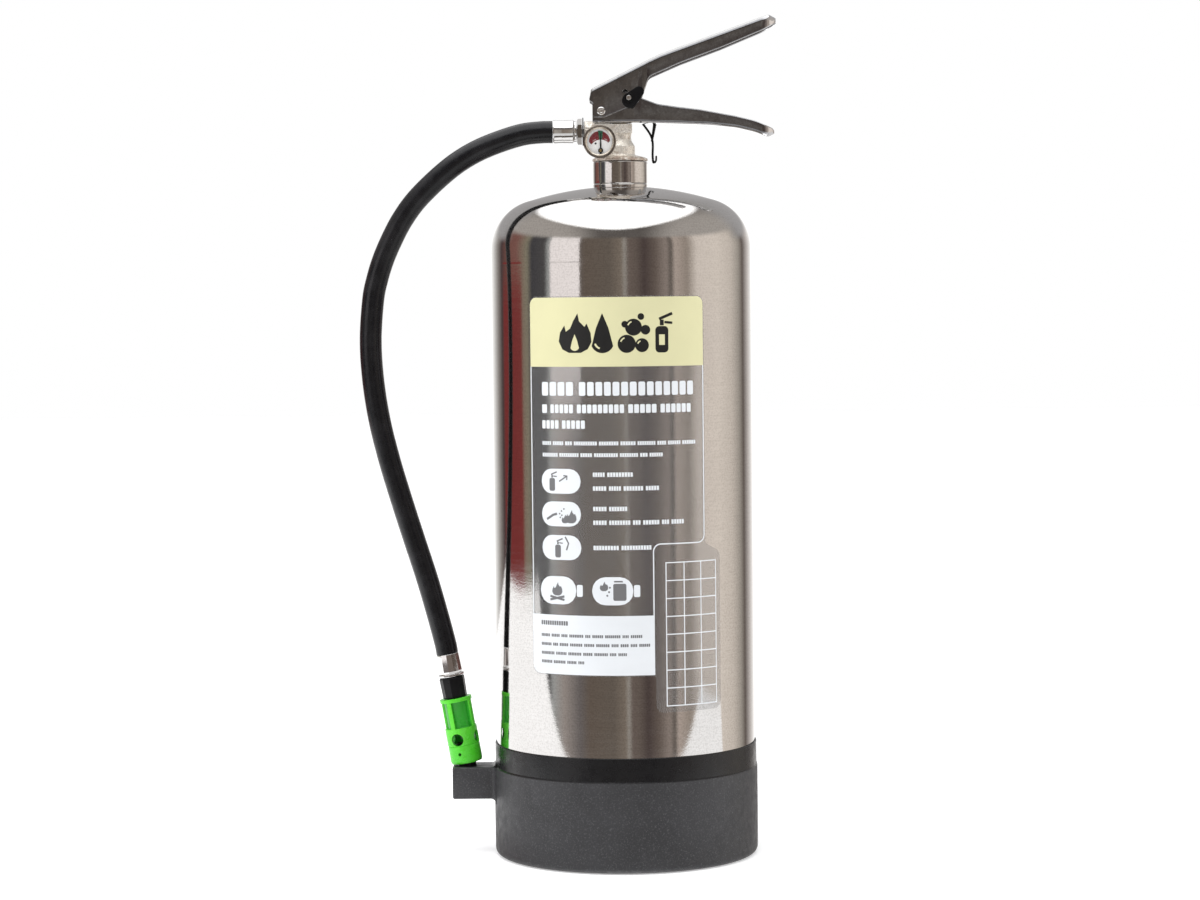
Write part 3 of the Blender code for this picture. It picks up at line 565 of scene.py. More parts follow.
def boot_plastic():
    """Grained black plastic, with a smooth, darker band round its top."""
    f = moulded(
        "boot_plastic", (0.040, 0.040, 0.043), (0.030, 0.030, 0.032), 0.50, 0.0009, 0.00005,
        (0.085, 0.085, 0.090), Specular_IOR_Level=0.35,
    )
    band = f.remap(f.axes(f.place)["Z"], BOOT_BAND_Z - 0.0002, BOOT_BAND_Z + 0.0006)
    f.tint(band, (0.008, 0.008, 0.009))
    rough = f.shader.inputs["Roughness"]
    present = rough.links[0].from_socket
    f.link(f.combine(present, f.combine(band, -0.22), "ADD"), rough)
    return f


def green_plastic():
    """Bright moulded green, with painted shade that deepens it in the pockets between the nozzle's ribs and
    in its bore.
    """
    f = moulded(
        "green_plastic", (0.10, 0.62, 0.025), (0.050, 0.50, 0.022), 0.30, 0.0012, 0.00002,
        (0.11, 0.70, 0.055), Subsurface_Weight=0.06, Subsurface_Radius=(0.001, 0.002, 0.0008),
    )
    # Painted shade: the green gets darker the nearer the surface is to the nozzle's axis.
    axis = f.node("ShaderNodeMapping", vector_type="TEXTURE")
    f.link(f.place, axis.inputs["Vector"])
    axis.inputs["Location"].default_value = NOZZLE_BASE
    axis.inputs["Rotation"].default_value = (0, math.radians(-NOZZLE_TILT), 0)
    radius = f.length(f.alter(axis.outputs[0], "MULTIPLY", (1, 1, 0)))
    f.tint(f.remap(radius, 0.0088, 0.0107, 0.85, 0.0), (0.014, 0.30, 0.022))
    return f


def printed(name, colour, roughness=0.42):
    """Ink on a smooth surface."""
    f = Finish(name, colour, roughness)
    f.mottle(0.04, 3, 0.35, 0.70, 0.6, tuple(0.93 * c for c in colour))
    f.mottle(0.0006, 2, 0.55, 0.80, 0.25, tuple(0.80 * c for c in colour))
    f.rough(f.noise(0.003, 3), roughness * 0.85, roughness * 1.15)
    f.bump(f.noise(0.0012, 2), 0.000006)
    return f


def clear_film(name, shade, opacity, roughness):
    """A clear layer that shows what is behind it and keeps its gloss."""
    f = Finish(name, (shade, shade, shade), roughness, Alpha=opacity)
    f.rough(f.noise(0.005, 3), roughness * 0.6, roughness * 1.4)
    f.bump(f.noise(0.006, 2), 0.00002)
    return f


def gauge_rim():
    """A spun rim, cream on the inside and darker towards its outer edge."""
    f = Finish("gauge_rim", (0.80, 0.74, 0.64), 0.20, 0.8)
    f.mottle(0.0016, 3, 0.45, 0.70, 0.7, (0.46, 0.38, 0.29))
    off = f.alter(f.place, "SUBTRACT", (GAUGE_X, 0, GAUGE_Z))
    away = f.length(f.alter(off, "MULTIPLY", (1, 0, 1)))
    f.tint(f.remap(away, GAUGE_R - 0.0010, GAUGE_R - 0.0002, 0, 0.9), (0.09, 0.065, 0.05))
    f.rough(f.noise(0.0020, 3), 0.16, 0.34)
    f.bump(f.noise(0.0006, 2), 0.00002)
    return f


STAINLESS = polished_stainless()
PRESSED = pressed_stainless()
CASTING = plated_casting()
CHROME = bright_plate()
RIM = gauge_rim()
DARK_PLATE = bright_plate("dark_plate", (0.30, 0.29, 0.28))
STEEL = drawn_steel()
BRASS = turned_brass()
HOSE_RUBBER = hose_rubber()
SEAL_RUBBER = moulded("seal_rubber", (0.020, 0.020, 0.022), (0.012, 0.012, 0.013), 0.5, 0.0009, 0.00003)
BOOT = boot_plastic()
BLACK = moulded(
    "black_plastic", (0.004, 0.004, 0.0045), (0.007, 0.007, 0.008), 0.32, 0.0012, 0.00002,
    Specular_IOR_Level=0.2
)
WHITE = moulded("white_plastic", (0.84, 0.84, 0.82), (0.74, 0.73, 0.70), 0.45, 0.0010, 0.00003)
GREEN = green_plastic()
CREAM_INK = printed("cream_ink", (0.64, 0.615, 0.365))
WHITE_INK = printed("white_ink", (0.71, 0.735, 0.76))
BLACK_INK = printed("black_ink", (0.010, 0.010, 0.010))
GREY_INK = printed("grey_ink", (0.15, 0.15, 0.155))
DIAL_WHITE = printed("dial_white", (0.94, 0.925, 0.90), 0.5)
DIAL_RED = printed("dial_red", (0.22, 0.001, 0.008), 0.5)
DIAL_GREEN = printed("dial_green", (0.004, 0.13, 0.062), 0.5)
LABEL_FILM = clear_film("label_film", 0.30, 0.10, 0.12)
LENS = clear_film("clear_lens", 0.15, 0.05, 0.03)


# Camera

def make_camera():
    """A long lens from the front, a little above the middle of the cylinder and very slightly turned."""
    spot = Vector((0.0, -2.10, 0.385))
    pitch = math.radians(2.869)
    yaw = math.radians(-0.434)
    roll = math.radians(0.6)
    forward = Vector((math.sin(yaw) * math.cos(pitch), math.cos(yaw) * math.cos(pitch), -math.sin(pitch)))
    right = forward.cross(Vector((0, 0, 1))).normalized()
    up = right.cross(forward)
    leaned_right = right * math.cos(roll) - up * math.sin(roll)
    leaned_up = right * math.sin(roll) + up * math.cos(roll)
    camera = bpy.data.objects.new("camera", bpy.data.cameras.new("camera"))
    camera.data.lens = 90.96
    camera.data.sensor_width = 36.0
    camera.data.clip_start = 0.05
    turned = Matrix((leaned_right, leaned_up, -forward)).transposed().to_4x4()
    camera.matrix_world = Matrix.Translation(spot) @ turned
    bpy.context.scene.collection.objects.link(camera)
    bpy.context.scene.camera = camera


# Hose and nozzle

NOZZLE_FRAME = Matrix.Translation(NOZZLE_BASE) @ Matrix.Rotation(math.radians(-NOZZLE_TILT), 4, "Y")


def smooth_path(points, step):
    """Points about a step apart on the smooth curve through the route's points."""
    dense = []
    for i in range(len(points) - 1):
        p0 = points[max(i - 1, 0)]
        p1 = points[i]
        p2 = points[i + 1]
        p3 = points[min(i + 2, len(points) - 1)]
        for k in range(20):
            t = k / 20
            dense.append(0.5 * (
                2 * p1 + (p2 - p0) * t + (2 * p0 - 5 * p1 + 4 * p2 - p3) * t ** 2
                + (3 * p1 - p0 - 3 * p2 + p3) * t ** 3
            ))
    dense = np.array([*dense, points[-1]])
    along = np.concatenate([[0], np.cumsum(np.linalg.norm(np.diff(dense, axis=0), axis=1))])
    wanted = np.linspace(0, along[-1], round(along[-1] / step) + 1)
    return [Vector([np.interp(w, along, dense[:, k]) for k in range(3)]) for w in wanted]


def hose_path():
    end = NOZZLE_FRAME @ Vector((0, 0, FERRULE_TOP_H + GAP))
    middle = [HOSE_EXIT - Vector((HOSE_STRAIGHT, 0, 0))]
    middle += [Vector((x, 0, z)) for x, z in HOSE_ROUTE]
    middle += [NOZZLE_FRAME @ Vector((0, 0, FERRULE_TOP_H + GAP + HOSE_STRAIGHT))]
    return [HOSE_EXIT] + smooth_path(middle, HOSE_STEP) + [end]


def make_nozzle():
    """The green foam nozzle on its axis: a bored tube with ribs, air holes and a seam round its foot."""
    bore = 0.0086
    throat = 0.0068
    throat_h = 0.0225
    foot_h = 0.0124
    nozzle = lathe("nozzle_shell", [
        (throat, NOZZLE_LENGTH, 0.0003), (NOZZLE_R, NOZZLE_LENGTH, 0.0004),
        (NOZZLE_R, foot_h + 0.0004, 0.0002),
        (NOZZLE_R - 0.0005, foot_h, 0.0001), (NOZZLE_R - 0.0001, foot_h - 0.0004, 0.0002),
        (NOZZLE_R, 0.0016, 0.0008), (NOZZLE_R - 0.0006, 0, 0.0004), (bore, 0, 0.0003),
        (bore, throat_h, 0.0003),
        (throat, throat_h + 0.0018, 0.0003),
    ], GREEN, 128, ring=True)
    rib = 17
    tools = []
    for i in range(4):
        window = lathe("window", [
            (0.0084, 0.0247, 0.0006), (0.0130, 0.0247), (0.0130, 0.0432), (0.0084, 0.0432, 0.0006),
        ], None, 24, ring=True, turn=90 - rib)
        first = -90 - 26 + rib / 2 + 90 * i
        tools.append(place(window, Matrix.Rotation(math.radians(first), 4, "Z")))
        turn = Matrix.Rotation(math.radians(-18 + 90 * i), 4, "Z")
        holes = [(0.0043, 0.0170)] if i else [(0.0043, 0.0170), (0.0011, 0.0068)]
        for radius, height in holes:
            hole = prism("air_hole", disc(0, 0, radius, 32), 0.0072, 0.016)
            tools.append(place(hole, turn @ Matrix.Translation((0, 0, height)) @ TO_SIDE))
    carve(nozzle, *tools)
    place(nozzle, NOZZLE_FRAME)
    set_on(nozzle, "nozzle", "green_plastic", "foam_nozzle")

    shoulder = NOZZLE_LENGTH + GAP
    fitting = lathe("nozzle_coupling", [
        (0.0026, 0.0755), (0.0037, 0.0755, 0.0003), (0.0037, ADAPTOR_TOP_H), (0.0080, ADAPTOR_TOP_H, 0.0004),
        (0.0088, ADAPTOR_TOP_H - 0.0012, 0.0004), (0.0084, shoulder, 0.0003), (0.0065, shoulder),
        (0.0065, 0.0376),
        (0.0026, 0.0376),
    ], BLACK, 10, ring=True, sharp=25)
    place(fitting, NOZZLE_FRAME @ Matrix.Rotation(math.radians(9), 4, "Z"))
    set_on(fitting, "nozzle", "black_plastic", "nozzle_adaptor")

    low = ADAPTOR_TOP_H + GAP
    sleeve = lathe("nozzle_sleeve", [
        (0.0040, FERRULE_TOP_H), (0.0080, FERRULE_TOP_H, 0.0004), (0.0085, low + 0.0034, 0.0006),
        (0.0080, low + 0.0020, 0.0004), (0.0094, low + 0.0014, 0.0002), (0.0094, low, 0.0002), (0.0040, low),
    ], CHROME, 14, ring=True, sharp=18)
    place(sleeve, NOZZLE_FRAME @ Matrix.Rotation(math.radians(8), 4, "Z"))
    set_on(sleeve, "nozzle", "bright_chrome", "nozzle_ferrule")
    return [nozzle, fitting, sleeve]


def make_outlet():
    """Pieces on the outlet's axis; heights are distances to the left of x = 0."""
    bore = 0.0044
    washer = lathe("outlet_ring", [
        (bore, 0.0257), (0.0096, 0.0257, 0.0002), (0.0096, 0.0250, 0.0002), (bore, 0.0250),
    ], SEAL_RUBBER, 96, ring=True)
    set_on(face_left(washer, OUTLET_Z), "root", "seal_rubber", "outlet_washer")
    hexagon = disc(0, 0, 0.0089, 6)
    nut = prism("outlet_nut", hexagon, 0.0261, 0.0294, DARK_PLATE)
    chamfer = lathe(
        "chamfer", [(0, 0.0294), (0.0078, 0.0294), (0.0092, 0.0286), (0.0092, 0.0261), (0, 0.0261)],
    )
    carve(nut, chamfer, operation="INTERSECT")
    carve(nut, prism("nut_bore", disc(0, 0, bore, 48), 0.02, 0.04))
    set_on(face_left(nut, OUTLET_Z), "root", "plated_casting", "hose_nut")
    start = -HOSE_EXIT.x - GAP
    sleeve = lathe("hose_sleeve", [
        (bore, start), (0.0079, start, 0.0003), (0.0081, start - 0.0010, 0.0004), (0.00785, 0.0400, 0.001),
        (0.0081, 0.0322, 0.0004), (0.0074, 0.0316, 0.0003), (0.0071, 0.0309, 0.0002),
        (0.0072, 0.0297, 0.0003),
        (bore, 0.0297),
    ], CHROME, 96, ring=True)
    set_on(face_left(sleeve, OUTLET_Z), "root", "bright_chrome", "hose_ferrule")
    return sleeve


def make_hose():
    """The free hose, with the fixing at its valve end and the nozzle at its far end."""
    path = hose_path()
    hose = tube("foam_hose", path, HOSE_R - 0.00005, HOSE_RUBBER, 40)
    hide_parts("hose")
    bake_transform(hose)
    sleeve = make_outlet()
    nozzle = make_nozzle()


# Cylinder, boot and neck

def make_cylinder():
    """The polished shell: a shallow crown, a round shoulder, a straight wall and a dished foot."""
    wall = 0.0015
    foot_r = 0.015

    def head(inset):
        knuckle_r = KNUCKLE_R - inset
        crown_r = CROWN_R - inset
        middle_r = BODY_R - KNUCKLE_R
        lean = math.degrees(math.asin(middle_r / (CROWN_R - KNUCKLE_R)))
        crown_z = SHOULDER_Z - (CROWN_R - KNUCKLE_R) * math.cos(math.radians(lean))
        first = math.degrees(math.asin(NECK_BORE_R / crown_r))
        crown = arc(0, crown_z, crown_r, 90 - first, 90 - lean, 14)
        return crown + arc(middle_r, SHOULDER_Z, knuckle_r, 90 - lean, 0, 28)[1:]

    def foot(inset):
        return arc(BODY_R - foot_r, 0.0182, foot_r - inset, 0, -90, 8) + [(0, 0.0115 + inset)]

    groove_r = BODY_R - 0.00003
    joint_line = [
        (BODY_R, 0.4100), (BODY_R, 0.4092), (groove_r, 0.4087), (groove_r, 0.4083), (BODY_R, 0.4078),
        (BODY_R, 0.4070),
    ]
    outline = head(wall)[::-1] + head(0) + joint_line + foot(0)
    shell = lathe("cylinder_skin", outline + foot(wall)[::-1][1:], STAINLESS, 256)
    set_on(shell, "root", "polished_stainless", "cylinder_shell")


def make_boot():
    """The boot, with the arm that grows out of its side and the peg that the nozzle stands on."""
    inner_r = BODY_R + 0.0002
    boot = lathe("moulded_boot", [
        (0, 0.0025), (inner_r, 0.0025, 0.012), (inner_r, BOOT_TOP_Z, 0.0003),
        (BOOT_BAND_R, BOOT_TOP_Z - 0.0002, 0.0004),
        (BOOT_BAND_R, BOOT_BAND_Z + 0.0012, 0.0008), (BOOT_R, BOOT_BAND_Z, 0.0007), (BOOT_R, 0.0300, 0.05),
        (BOOT_R - 0.0002, 0, 0.0042), (0, 0),
    ], BOOT, 256, pieces=6, sharp=50)
    half_y = 0.0130
    middle_z = 0.0499
    half_z = 0.0111
    fillet = 0.0033
    wall_x = -0.0905
    rings = []
    stops = [ARM_END_X, ARM_END_X + 0.0003, ARM_END_X + 0.0010, wall_x - fillet]
    stops += [wall_x - fillet * (1 - math.sin(math.radians(a))) for a in (20, 40, 60, 75, 90)] + [-0.0870]
    for x in stops:
        near = max(0.0, fillet - max(0.0, wall_x - x))
        flare = fillet - math.sqrt(max(0.0, fillet ** 2 - near ** 2))
        pinch = 0.0008 * max(0.0, 1 - (x - ARM_END_X) / 0.0010) ** 2
        y = half_y + flare - pinch
        z = half_z + flare - pinch
        square = soften([(-y, -z, 0.0014), (y, -z, 0.0014), (y, z, 0.0014), (-y, z, 0.0014)])
        rings.append([(x, a, middle_z + b) for a, b in square])
    arm = loft("arm", rings)
    peg = lathe("peg", [(0, PEG_TOP), (PEG_R, PEG_TOP, 0.0010), (PEG_R, -0.010), (0, -0.010)], None, 48)
    place(peg, NOZZLE_FRAME)
    carve(boot, arm, peg, operation="UNION")
    set_on(boot, "root", "boot_plastic", "base_boot")


def make_collar():
    """The polished neck ring, with a recess in its top and a fine groove above its rounded foot."""
    recess_r = 0.0158
    recess_z = COLLAR_TOP_Z - 0.0024
    skirt_r = 0.0165
    skirt_z = COLLAR_LOW_Z - 0.0026
    ring = lathe("collar_ring", [
        (recess_r, COLLAR_TOP_Z), (COLLAR_R, COLLAR_TOP_Z, 0.0005),
        (COLLAR_R, COLLAR_LOW_Z + 0.0016, 0.0002), (COLLAR_R - 0.0005, COLLAR_LOW_Z + 0.0010, 0.0002),
        (COLLAR_R, COLLAR_LOW_Z + 0.0004, 0.0002), (COLLAR_R, COLLAR_LOW_Z - 0.0014, 0.0008),
        (COLLAR_R - 0.0012, skirt_z, 0.0004), (skirt_r, skirt_z), (skirt_r, COLLAR_LOW_Z),
        (NECK_BORE_R, COLLAR_LOW_Z), (NECK_BORE_R, recess_z), (recess_r, recess_z),
    ], STAINLESS, 128, ring=True)
    set_on(ring, "root", "polished_stainless", "neck_collar")


# Valve

def make_valve():
    """The cast body: the frame's own shape with melted edges, and small raised marks on its front."""
    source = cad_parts["valve_body"]
    casting = bpy.data.objects.new("valve_casting", source.data.copy())
    bpy.context.scene.collection.objects.link(casting)
    casting.data.materials.clear()
    casting.data.materials.append(CASTING.material)
    remesh = casting.modifiers.new("Melt", "REMESH")
    remesh.mode = "VOXEL"
    remesh.voxel_size = 0.00042
    smooth = casting.modifiers.new("Smooth", "SMOOTH")
    smooth.factor = 0.6
    smooth.iterations = 2
    freeze(casting, 60)
    casting.data.shade_smooth()
    set_on(casting, "root", "plated_casting", "valve_body")
    pitch = 0.0019
    for reach, x, z in (
        (0.0094, 0.0036, 0.5008), (0.0094, 0.0028, 0.4976), (0.0100, 0.0, 0.4858), (0.0100, 0.0, 0.4832),
    ):
        for i in range(-1, 3):
            turn = math.asin((x + pitch * i) / reach)
            at = Vector((reach * math.sin(turn), -reach * math.cos(turn), z))
            mark = block(
                "casting_mark", (-0.0006, -0.0004, -0.0008), (0.0006, 0.0003, 0.0008), CASTING, 0.0002,
            )
            place(mark, Matrix.Translation(at) @ Matrix.Rotation(turn, 4, "Z"))
            set_on(mark, "root", "plated_casting")


def channel(name, top, bottom, half, tip_x, tip_r, corner, web_up, finish):
    """A pressed U channel along X. top and bottom are its edges from the side; its web is one of them."""
    top = np.array(soften(top, False, 6))
    bottom = np.array(soften(bottom, False, 6))
    first = max(top[0][0], bottom[0][0])
    spots = np.concatenate([np.linspace(first, tip_x, 110), top[:, 0], bottom[:, 0]])
    spots = np.concatenate([spots, tip_x - tip_r * (1 - np.sin(np.linspace(0, math.pi / 2, 14)))])
    spots = np.unique(np.round(spots[(spots >= first) & (spots <= tip_x)], 6))
    rings = []
    for x in spots:
        high = float(np.interp(x, top[:, 0], top[:, 1]))
        low = float(np.interp(x, bottom[:, 0], bottom[:, 1]))
        past = max(0.0, x - (tip_x - tip_r))
        width = half - tip_r + math.sqrt(max(0.0, tip_r ** 2 - past ** 2))
        depth = max(high - low, SHEET + 0.0004)
        near_tip = min(1.0, past / tip_r)
        bend = min(corner + 0.0030 * near_tip, depth - SHEET / 2, width - 0.0004)
        inner = max(0.0003, bend - SHEET)
        web = high if web_up else low
        sign = -1.0 if web_up else 1.0
        lip = SHEET / 2
        side = [(width, depth - lip)] + [
            (width - lip + lip * math.cos(t), depth - lip + lip * math.sin(t))
            for t in (math.radians(a) for a in (30, 60, 90, 120, 150))
        ] + [(width - SHEET, depth - lip)]
        outer = arc(width - bend, bend, bend, -90, 0, 8)
        inside = arc(width - SHEET - inner, SHEET + inner, inner, 0, -90, 8)
        if depth - lip < SHEET + inner:
            inside = [(y, min(h, depth - lip)) for y, h in inside]
        one = outer + side + inside
        section = one + [(-y, h) for y, h in one[::-1]]
        rings.append([(x, y, web + sign * h) for y, h in section])
    return loft(name, rings, finish, sharp=50)


def make_handle():
    """The fixed handle: a channel that is open at the top, with the gland's hole in its floor."""
    base = 0.5050
    tip_x = 0.1066
    handle = channel(
        "handle_pressing",
        [(PIVOT.x - 0.0060, 0.5200), (-0.0070, 0.5200, 0.002), (0.0020, 0.5262, 0.003),
         (0.0100, 0.5262, 0.002),
         (0.0146, 0.5220, 0.004), (0.0262, 0.5176, 0.02), (0.0415, 0.5153, 0.05), (0.0551, 0.5136, 0.05),
         (0.0790, 0.5090, 0.05), (0.0930, 0.5056, 0.04), (0.1050, 0.5004, 0.002), (0.1070, 0.4984)],
        [(PIVOT.x - 0.0060, base), (0.0143, base, 0.02), (0.0414, 0.5040, 0.05), (0.0620, 0.5030, 0.05),
         (0.0800, 0.5010, 0.05), (0.0930, 0.4978, 0.04), (0.1020, 0.4941, 0.004), (0.1070, 0.4970)],
        HANDLE_HALF, tip_x, 0.009, 0.0024, False, PRESSED,
    )
    carve(
        handle,
        block("back_gap", (-0.060, -0.0092, 0.4900), (-0.0062, 0.0092, 0.5300)),
        prism("gland", disc(0, 0, 0.0054, 32), 0.49, 0.515),
        cross_hole(PIVOT, PIVOT_HOLE_R),
        cross_hole(PIN, PIN_R + GAP),
        side_prism("nick", disc(0.0145, 0.5050, 0.0009, 16), -0.020, -0.006),
    )
    set_on(handle, "root", "pressed_stainless", "carry_handle")


def pin_slot():
    """The arc-shaped hole that the pin stands in, so that the lever turns past it."""
    reach = (PIN - PIVOT).length
    half = PIN_R + GAP
    start = math.degrees(math.atan2(PIN.z - PIVOT.z, PIN.x - PIVOT.x))
    end = start + LEVER_TRAVEL + 0.5
    ends = [PIVOT + reach * Vector((math.cos(t), 0, math.sin(t))) for t in map(math.radians, (start, end))]
    outline = arc(PIVOT.x, PIVOT.z, reach + half, start, end, 8)
    outline += arc(ends[1].x, ends[1].z, half, end, end + 180, 10)[1:-1]
    outline += arc(PIVOT.x, PIVOT.z, reach - half, end, start, 8)
    outline += arc(ends[0].x, ends[0].z, half, start + 180, start + 360, 10)[1:-1]
    return side_prism("slot", outline, -0.02, 0.02)


def make_lever():
    """The moving lever: a channel that is open below, and the rivet that it turns on."""
    lever = channel(
        "lever_pressing",
        [(-0.0206, 0.5222), (-0.0196, 0.5276, 0.001), (-0.0184, 0.5288, 0.001), (0.0200, 0.5478, 0.03),
         (0.0290, 0.5519, 0.03), (0.0598, 0.5627, 0.2), (0.0950, 0.5752, 0.03), (0.1030, 0.5780, 0.004),
         (0.1088, 0.5752)],
        [(-0.0206, 0.5199), (-0.0181, 0.5182), (-0.0177, 0.5086), (-0.0104, 0.5086, 0.002),
         (0.0054, 0.5149, 0.02),
         (0.0129, 0.5186, 0.002), (0.0156, 0.5227, 0.003), (0.0202, 0.5360, 0.006), (0.0417, 0.5452, 0.03),
         (0.0705, 0.5556, 0.1), (0.1001, 0.5677, 0.03), (0.1088, 0.5730)],
        LEVER_HALF, CAD_BOX[1].x - 0.00005, 0.010, 0.0032, True, PRESSED,
    )
    carve(lever, cross_hole(PIVOT, PIVOT_HOLE_R), pin_slot())
    set_on(lever, "lever", "pressed_stainless", "operating_lever")

    face = LEVER_HALF + GAP
    head = [
        (0, face + 0.0006), (0.0009, face + 0.0006, 0.0003), (0.0013, face + 0.0013, 0.0004),
        (0.0022, face + 0.0013, 0.0005), (0.0029, face + 0.0006, 0.0003), (0.0029, face, 0.0002),
        (0.0020, face),
    ]
    rivet = lathe("pivot_rivet", head + [(r, -z) for r, z, *_ in head[::-1]], CHROME, 64)
    set_on(face_front(rivet, PIVOT.x, PIVOT.z), "root", "bright_chrome", "lever_pivot_rivet")


def make_gland():
    """The gland nut under the lever, with its hexagon, and the stem's plain rod."""
    seat = 0.5071
    hexagon = arc(0, 0, 0.0066, 30, 390, 6)[:-1]
    nut = prism("gland_hexagon", hexagon, seat, seat + 0.0030, BRASS)
    dome = lathe("dome", [
        (0, seat + 0.0030), (0.0058, seat + 0.0030), (0.0068, seat + 0.0024), (0.0068, seat), (0, seat),
    ])
    carve(nut, dome, operation="INTERSECT")
    shank = lathe("shank", [
        (0, seat + 0.0010), (0.0050, seat + 0.0010), (0.0050, 0.5022), (0.0023, 0.5022), (0.0023, 0.5036),
        (0.0039, 0.5036), (0.0039, 0.5056), (0, 0.5056),
    ], None, 48)
    carve(nut, shank, operation="UNION")
    carve(nut, prism("bore", disc(0, 0, 0.0023, 32), 0.50, 0.52))
    set_on(nut, "root", "brass", "stem_gland_nut")


def make_spring():
    """The coil below the poppet, at the frame spring's length; the real one shortens as the stem goes down.
    """
    wire = 0.00055
    coil_r = 0.0042
    low, high = (corner.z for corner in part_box("valve_spring"))
    turns = 5
    sides = 24
    rise = high - low - 2 * wire
    coil = []
    for i in range(turns * sides + 1):
        angle = math.tau * i / sides
        height = low + wire + rise * i / (turns * sides)
        coil.append((coil_r * math.cos(angle), coil_r * math.sin(angle), height))
    spring = tube("coil_spring", coil, wire, STEEL, 12)
    set_on(spring, "root", "plain_steel", "valve_spring")
    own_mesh(spring)


def make_pin():
    """The safety pin, with an eye through its back end and the pull ring in it."""
    front = 0.0176
    low = -RING_Y + 0.0024
    high = -RING_Y - 0.0026
    pin = lathe("pull_pin", [
        (0, front), (PIN_R, front, 0.0005), (PIN_R, low), (0.0029, low, 0.0006), (0.0029, high, 0.0009),
        (0, high),
    ], STEEL, 48)
    face_front(pin, PIN.x, PIN.z)
    lean = math.radians(RING_LEAN)
    along = Vector((-math.sin(lean), 0, math.cos(lean)))
    eye = Vector((PIN.x, RING_Y, PIN.z))
    carve(pin, tube("eye", [eye - along * 0.006, eye, eye + along * 0.006], 0.0016, None, 24))
    set_on(pin, "pin", "plain_steel", "safety_pin")

    centre = eye + RING_R * Vector((math.cos(lean), 0, math.sin(lean)))
    circle = [(centre.x + x, RING_Y, centre.z + z) for x, z in disc(0, 0, RING_R, 96)]
    ring = tube("pin_ring", circle, RING_WIRE, STEEL, 16, loop=True)
    set_on(ring, "ring", "plain_steel", "pull_ring")


def make_seal():
    """The black hub and lobe on the pin's front end, and the Y-shaped strap looped over its back."""
    front = -LEVER_HALF - GAP
    hub = Vector((0.0070, 0.5199))
    hub_r = 0.0052
    lobe = Vector((0.0134, 0.5259))
    lobe_r = 0.0036
    way = lobe - hub
    heading = math.degrees(math.atan2(way.y, way.x))
    lean = math.degrees(math.acos((hub_r - lobe_r) / way.length))
    outline = arc(*hub, hub_r, heading + lean, heading + 360 - lean, 40)
    outline += arc(*lobe, lobe_r, heading - lean, heading + lean, 20)
    retainer = side_prism("seal_hub", outline, front - 0.0026, front, BLACK, 0.0006)
    carve(retainer, cross_hole(PIN, PIN_R + GAP))
    lip = place(lathe("lip", [
        (0.0024, 0), (0.0024, 0.0010, 0.0003), (0.0033, 0.0010, 0.0003), (0.0033, 0),
    ], BLACK, 48, ring=True), Matrix.Translation((PIN.x, front - 0.0024, PIN.z)) @ TO_SIDE)
    carve(retainer, lip, operation="UNION")
    set_on(retainer, "root", "black_plastic", "pin_retainer")

    strap_y = 0.0146
    over = arc(PIN.x, PIN.z, PIN_R + GAP + 0.0008, 205, 35, 14)
    left = [
        (0.0245, 0.4792), (0.0232, 0.4788), (0.0227, 0.4830), (0.0224, 0.4950), (0.0169, 0.5044),
        (0.0080, 0.5150),
    ]
    right = [(0.0150, 0.5200), (0.0220, 0.5150), (0.0246, 0.5080), (0.0246, 0.5050)]

    def run(route):
        return smooth_path([Vector((x, strap_y, z)) for x, z in route], 0.0004)

    path = run(left + over + right)
    radii = [0.00078 + 0.00010 * math.sin(i * 1.9) for i in range(len(path))]
    strap = tube("seal_strap", path, radii, BLACK, 12, ends=True)
    arm = run([(0.0247, 0.5072), (0.0240, 0.5030), (0.0223, 0.4936)])
    arm_radii = [0.00135 - 0.0006 * i / len(arm) + 0.00010 * math.sin(i * 1.9) for i in range(len(arm))]
    hook = run([(0.0232, 0.4790), (0.0249, 0.4797), (0.0252, 0.4828)])
    carve(
        strap, tube("arm", arm, arm_radii, None, 12, ends=True),
        tube("hook", hook, 0.00065, None, 12, ends=True),
        operation="UNION",
    )
    set_on(strap, "root", "black_plastic", "tamper_seal")


# Gauge

def dial_print(name, outlines, finish, lift):
    """Ink on the dial: outlines (x, z) from the needle's axis, raised a little from the dial's face."""
    bm = bmesh.new()
    for outline in outlines:
        bm.faces.new([bm.verts.new((x, y, 0)) for x, y in outline])
    grown = bmesh.ops.extrude_face_region(bm, geom=bm.faces[:])
    top = [v for v in grown["geom"] if isinstance(v, bmesh.types.BMVert)]
    bmesh.ops.translate(bm, verts=top, vec=(0, 0, 0.00003))
    ink = piece(bm, name, finish)
    place(ink, Matrix.Translation((NEEDLE_X, -DIAL_FACE - lift, NEEDLE_Z)) @ TO_SIDE)
    set_on(ink, "root", "dial_print")


def sector(inner, outer, start, end):
    """A ring sector about the needle's axis; angles in degrees from straight up, clockwise."""
    return arc(0, 0, outer, 90 - start, 90 - end, 24) + arc(0, 0, inner, 90 - end, 90 - start, 24)


def zone(outer, start, end):
    """A coloured zone between a circle about the needle's axis and a larger one about the dial's middle."""
    middle = Vector((GAUGE_X - NEEDLE_X, GAUGE_Z - NEEDLE_Z))
    edge = []
    for x, y in arc(0, 0, 1, 90 - start, 90 - end, 24):
        way = Vector((x, y))
        along = middle.dot(way)
        edge.append(tuple(way * (along + math.sqrt(along ** 2 - middle.length_squared + outer ** 2))))
    return edge + arc(0, 0, 0.0074, 90 - end, 90 - start, 24)


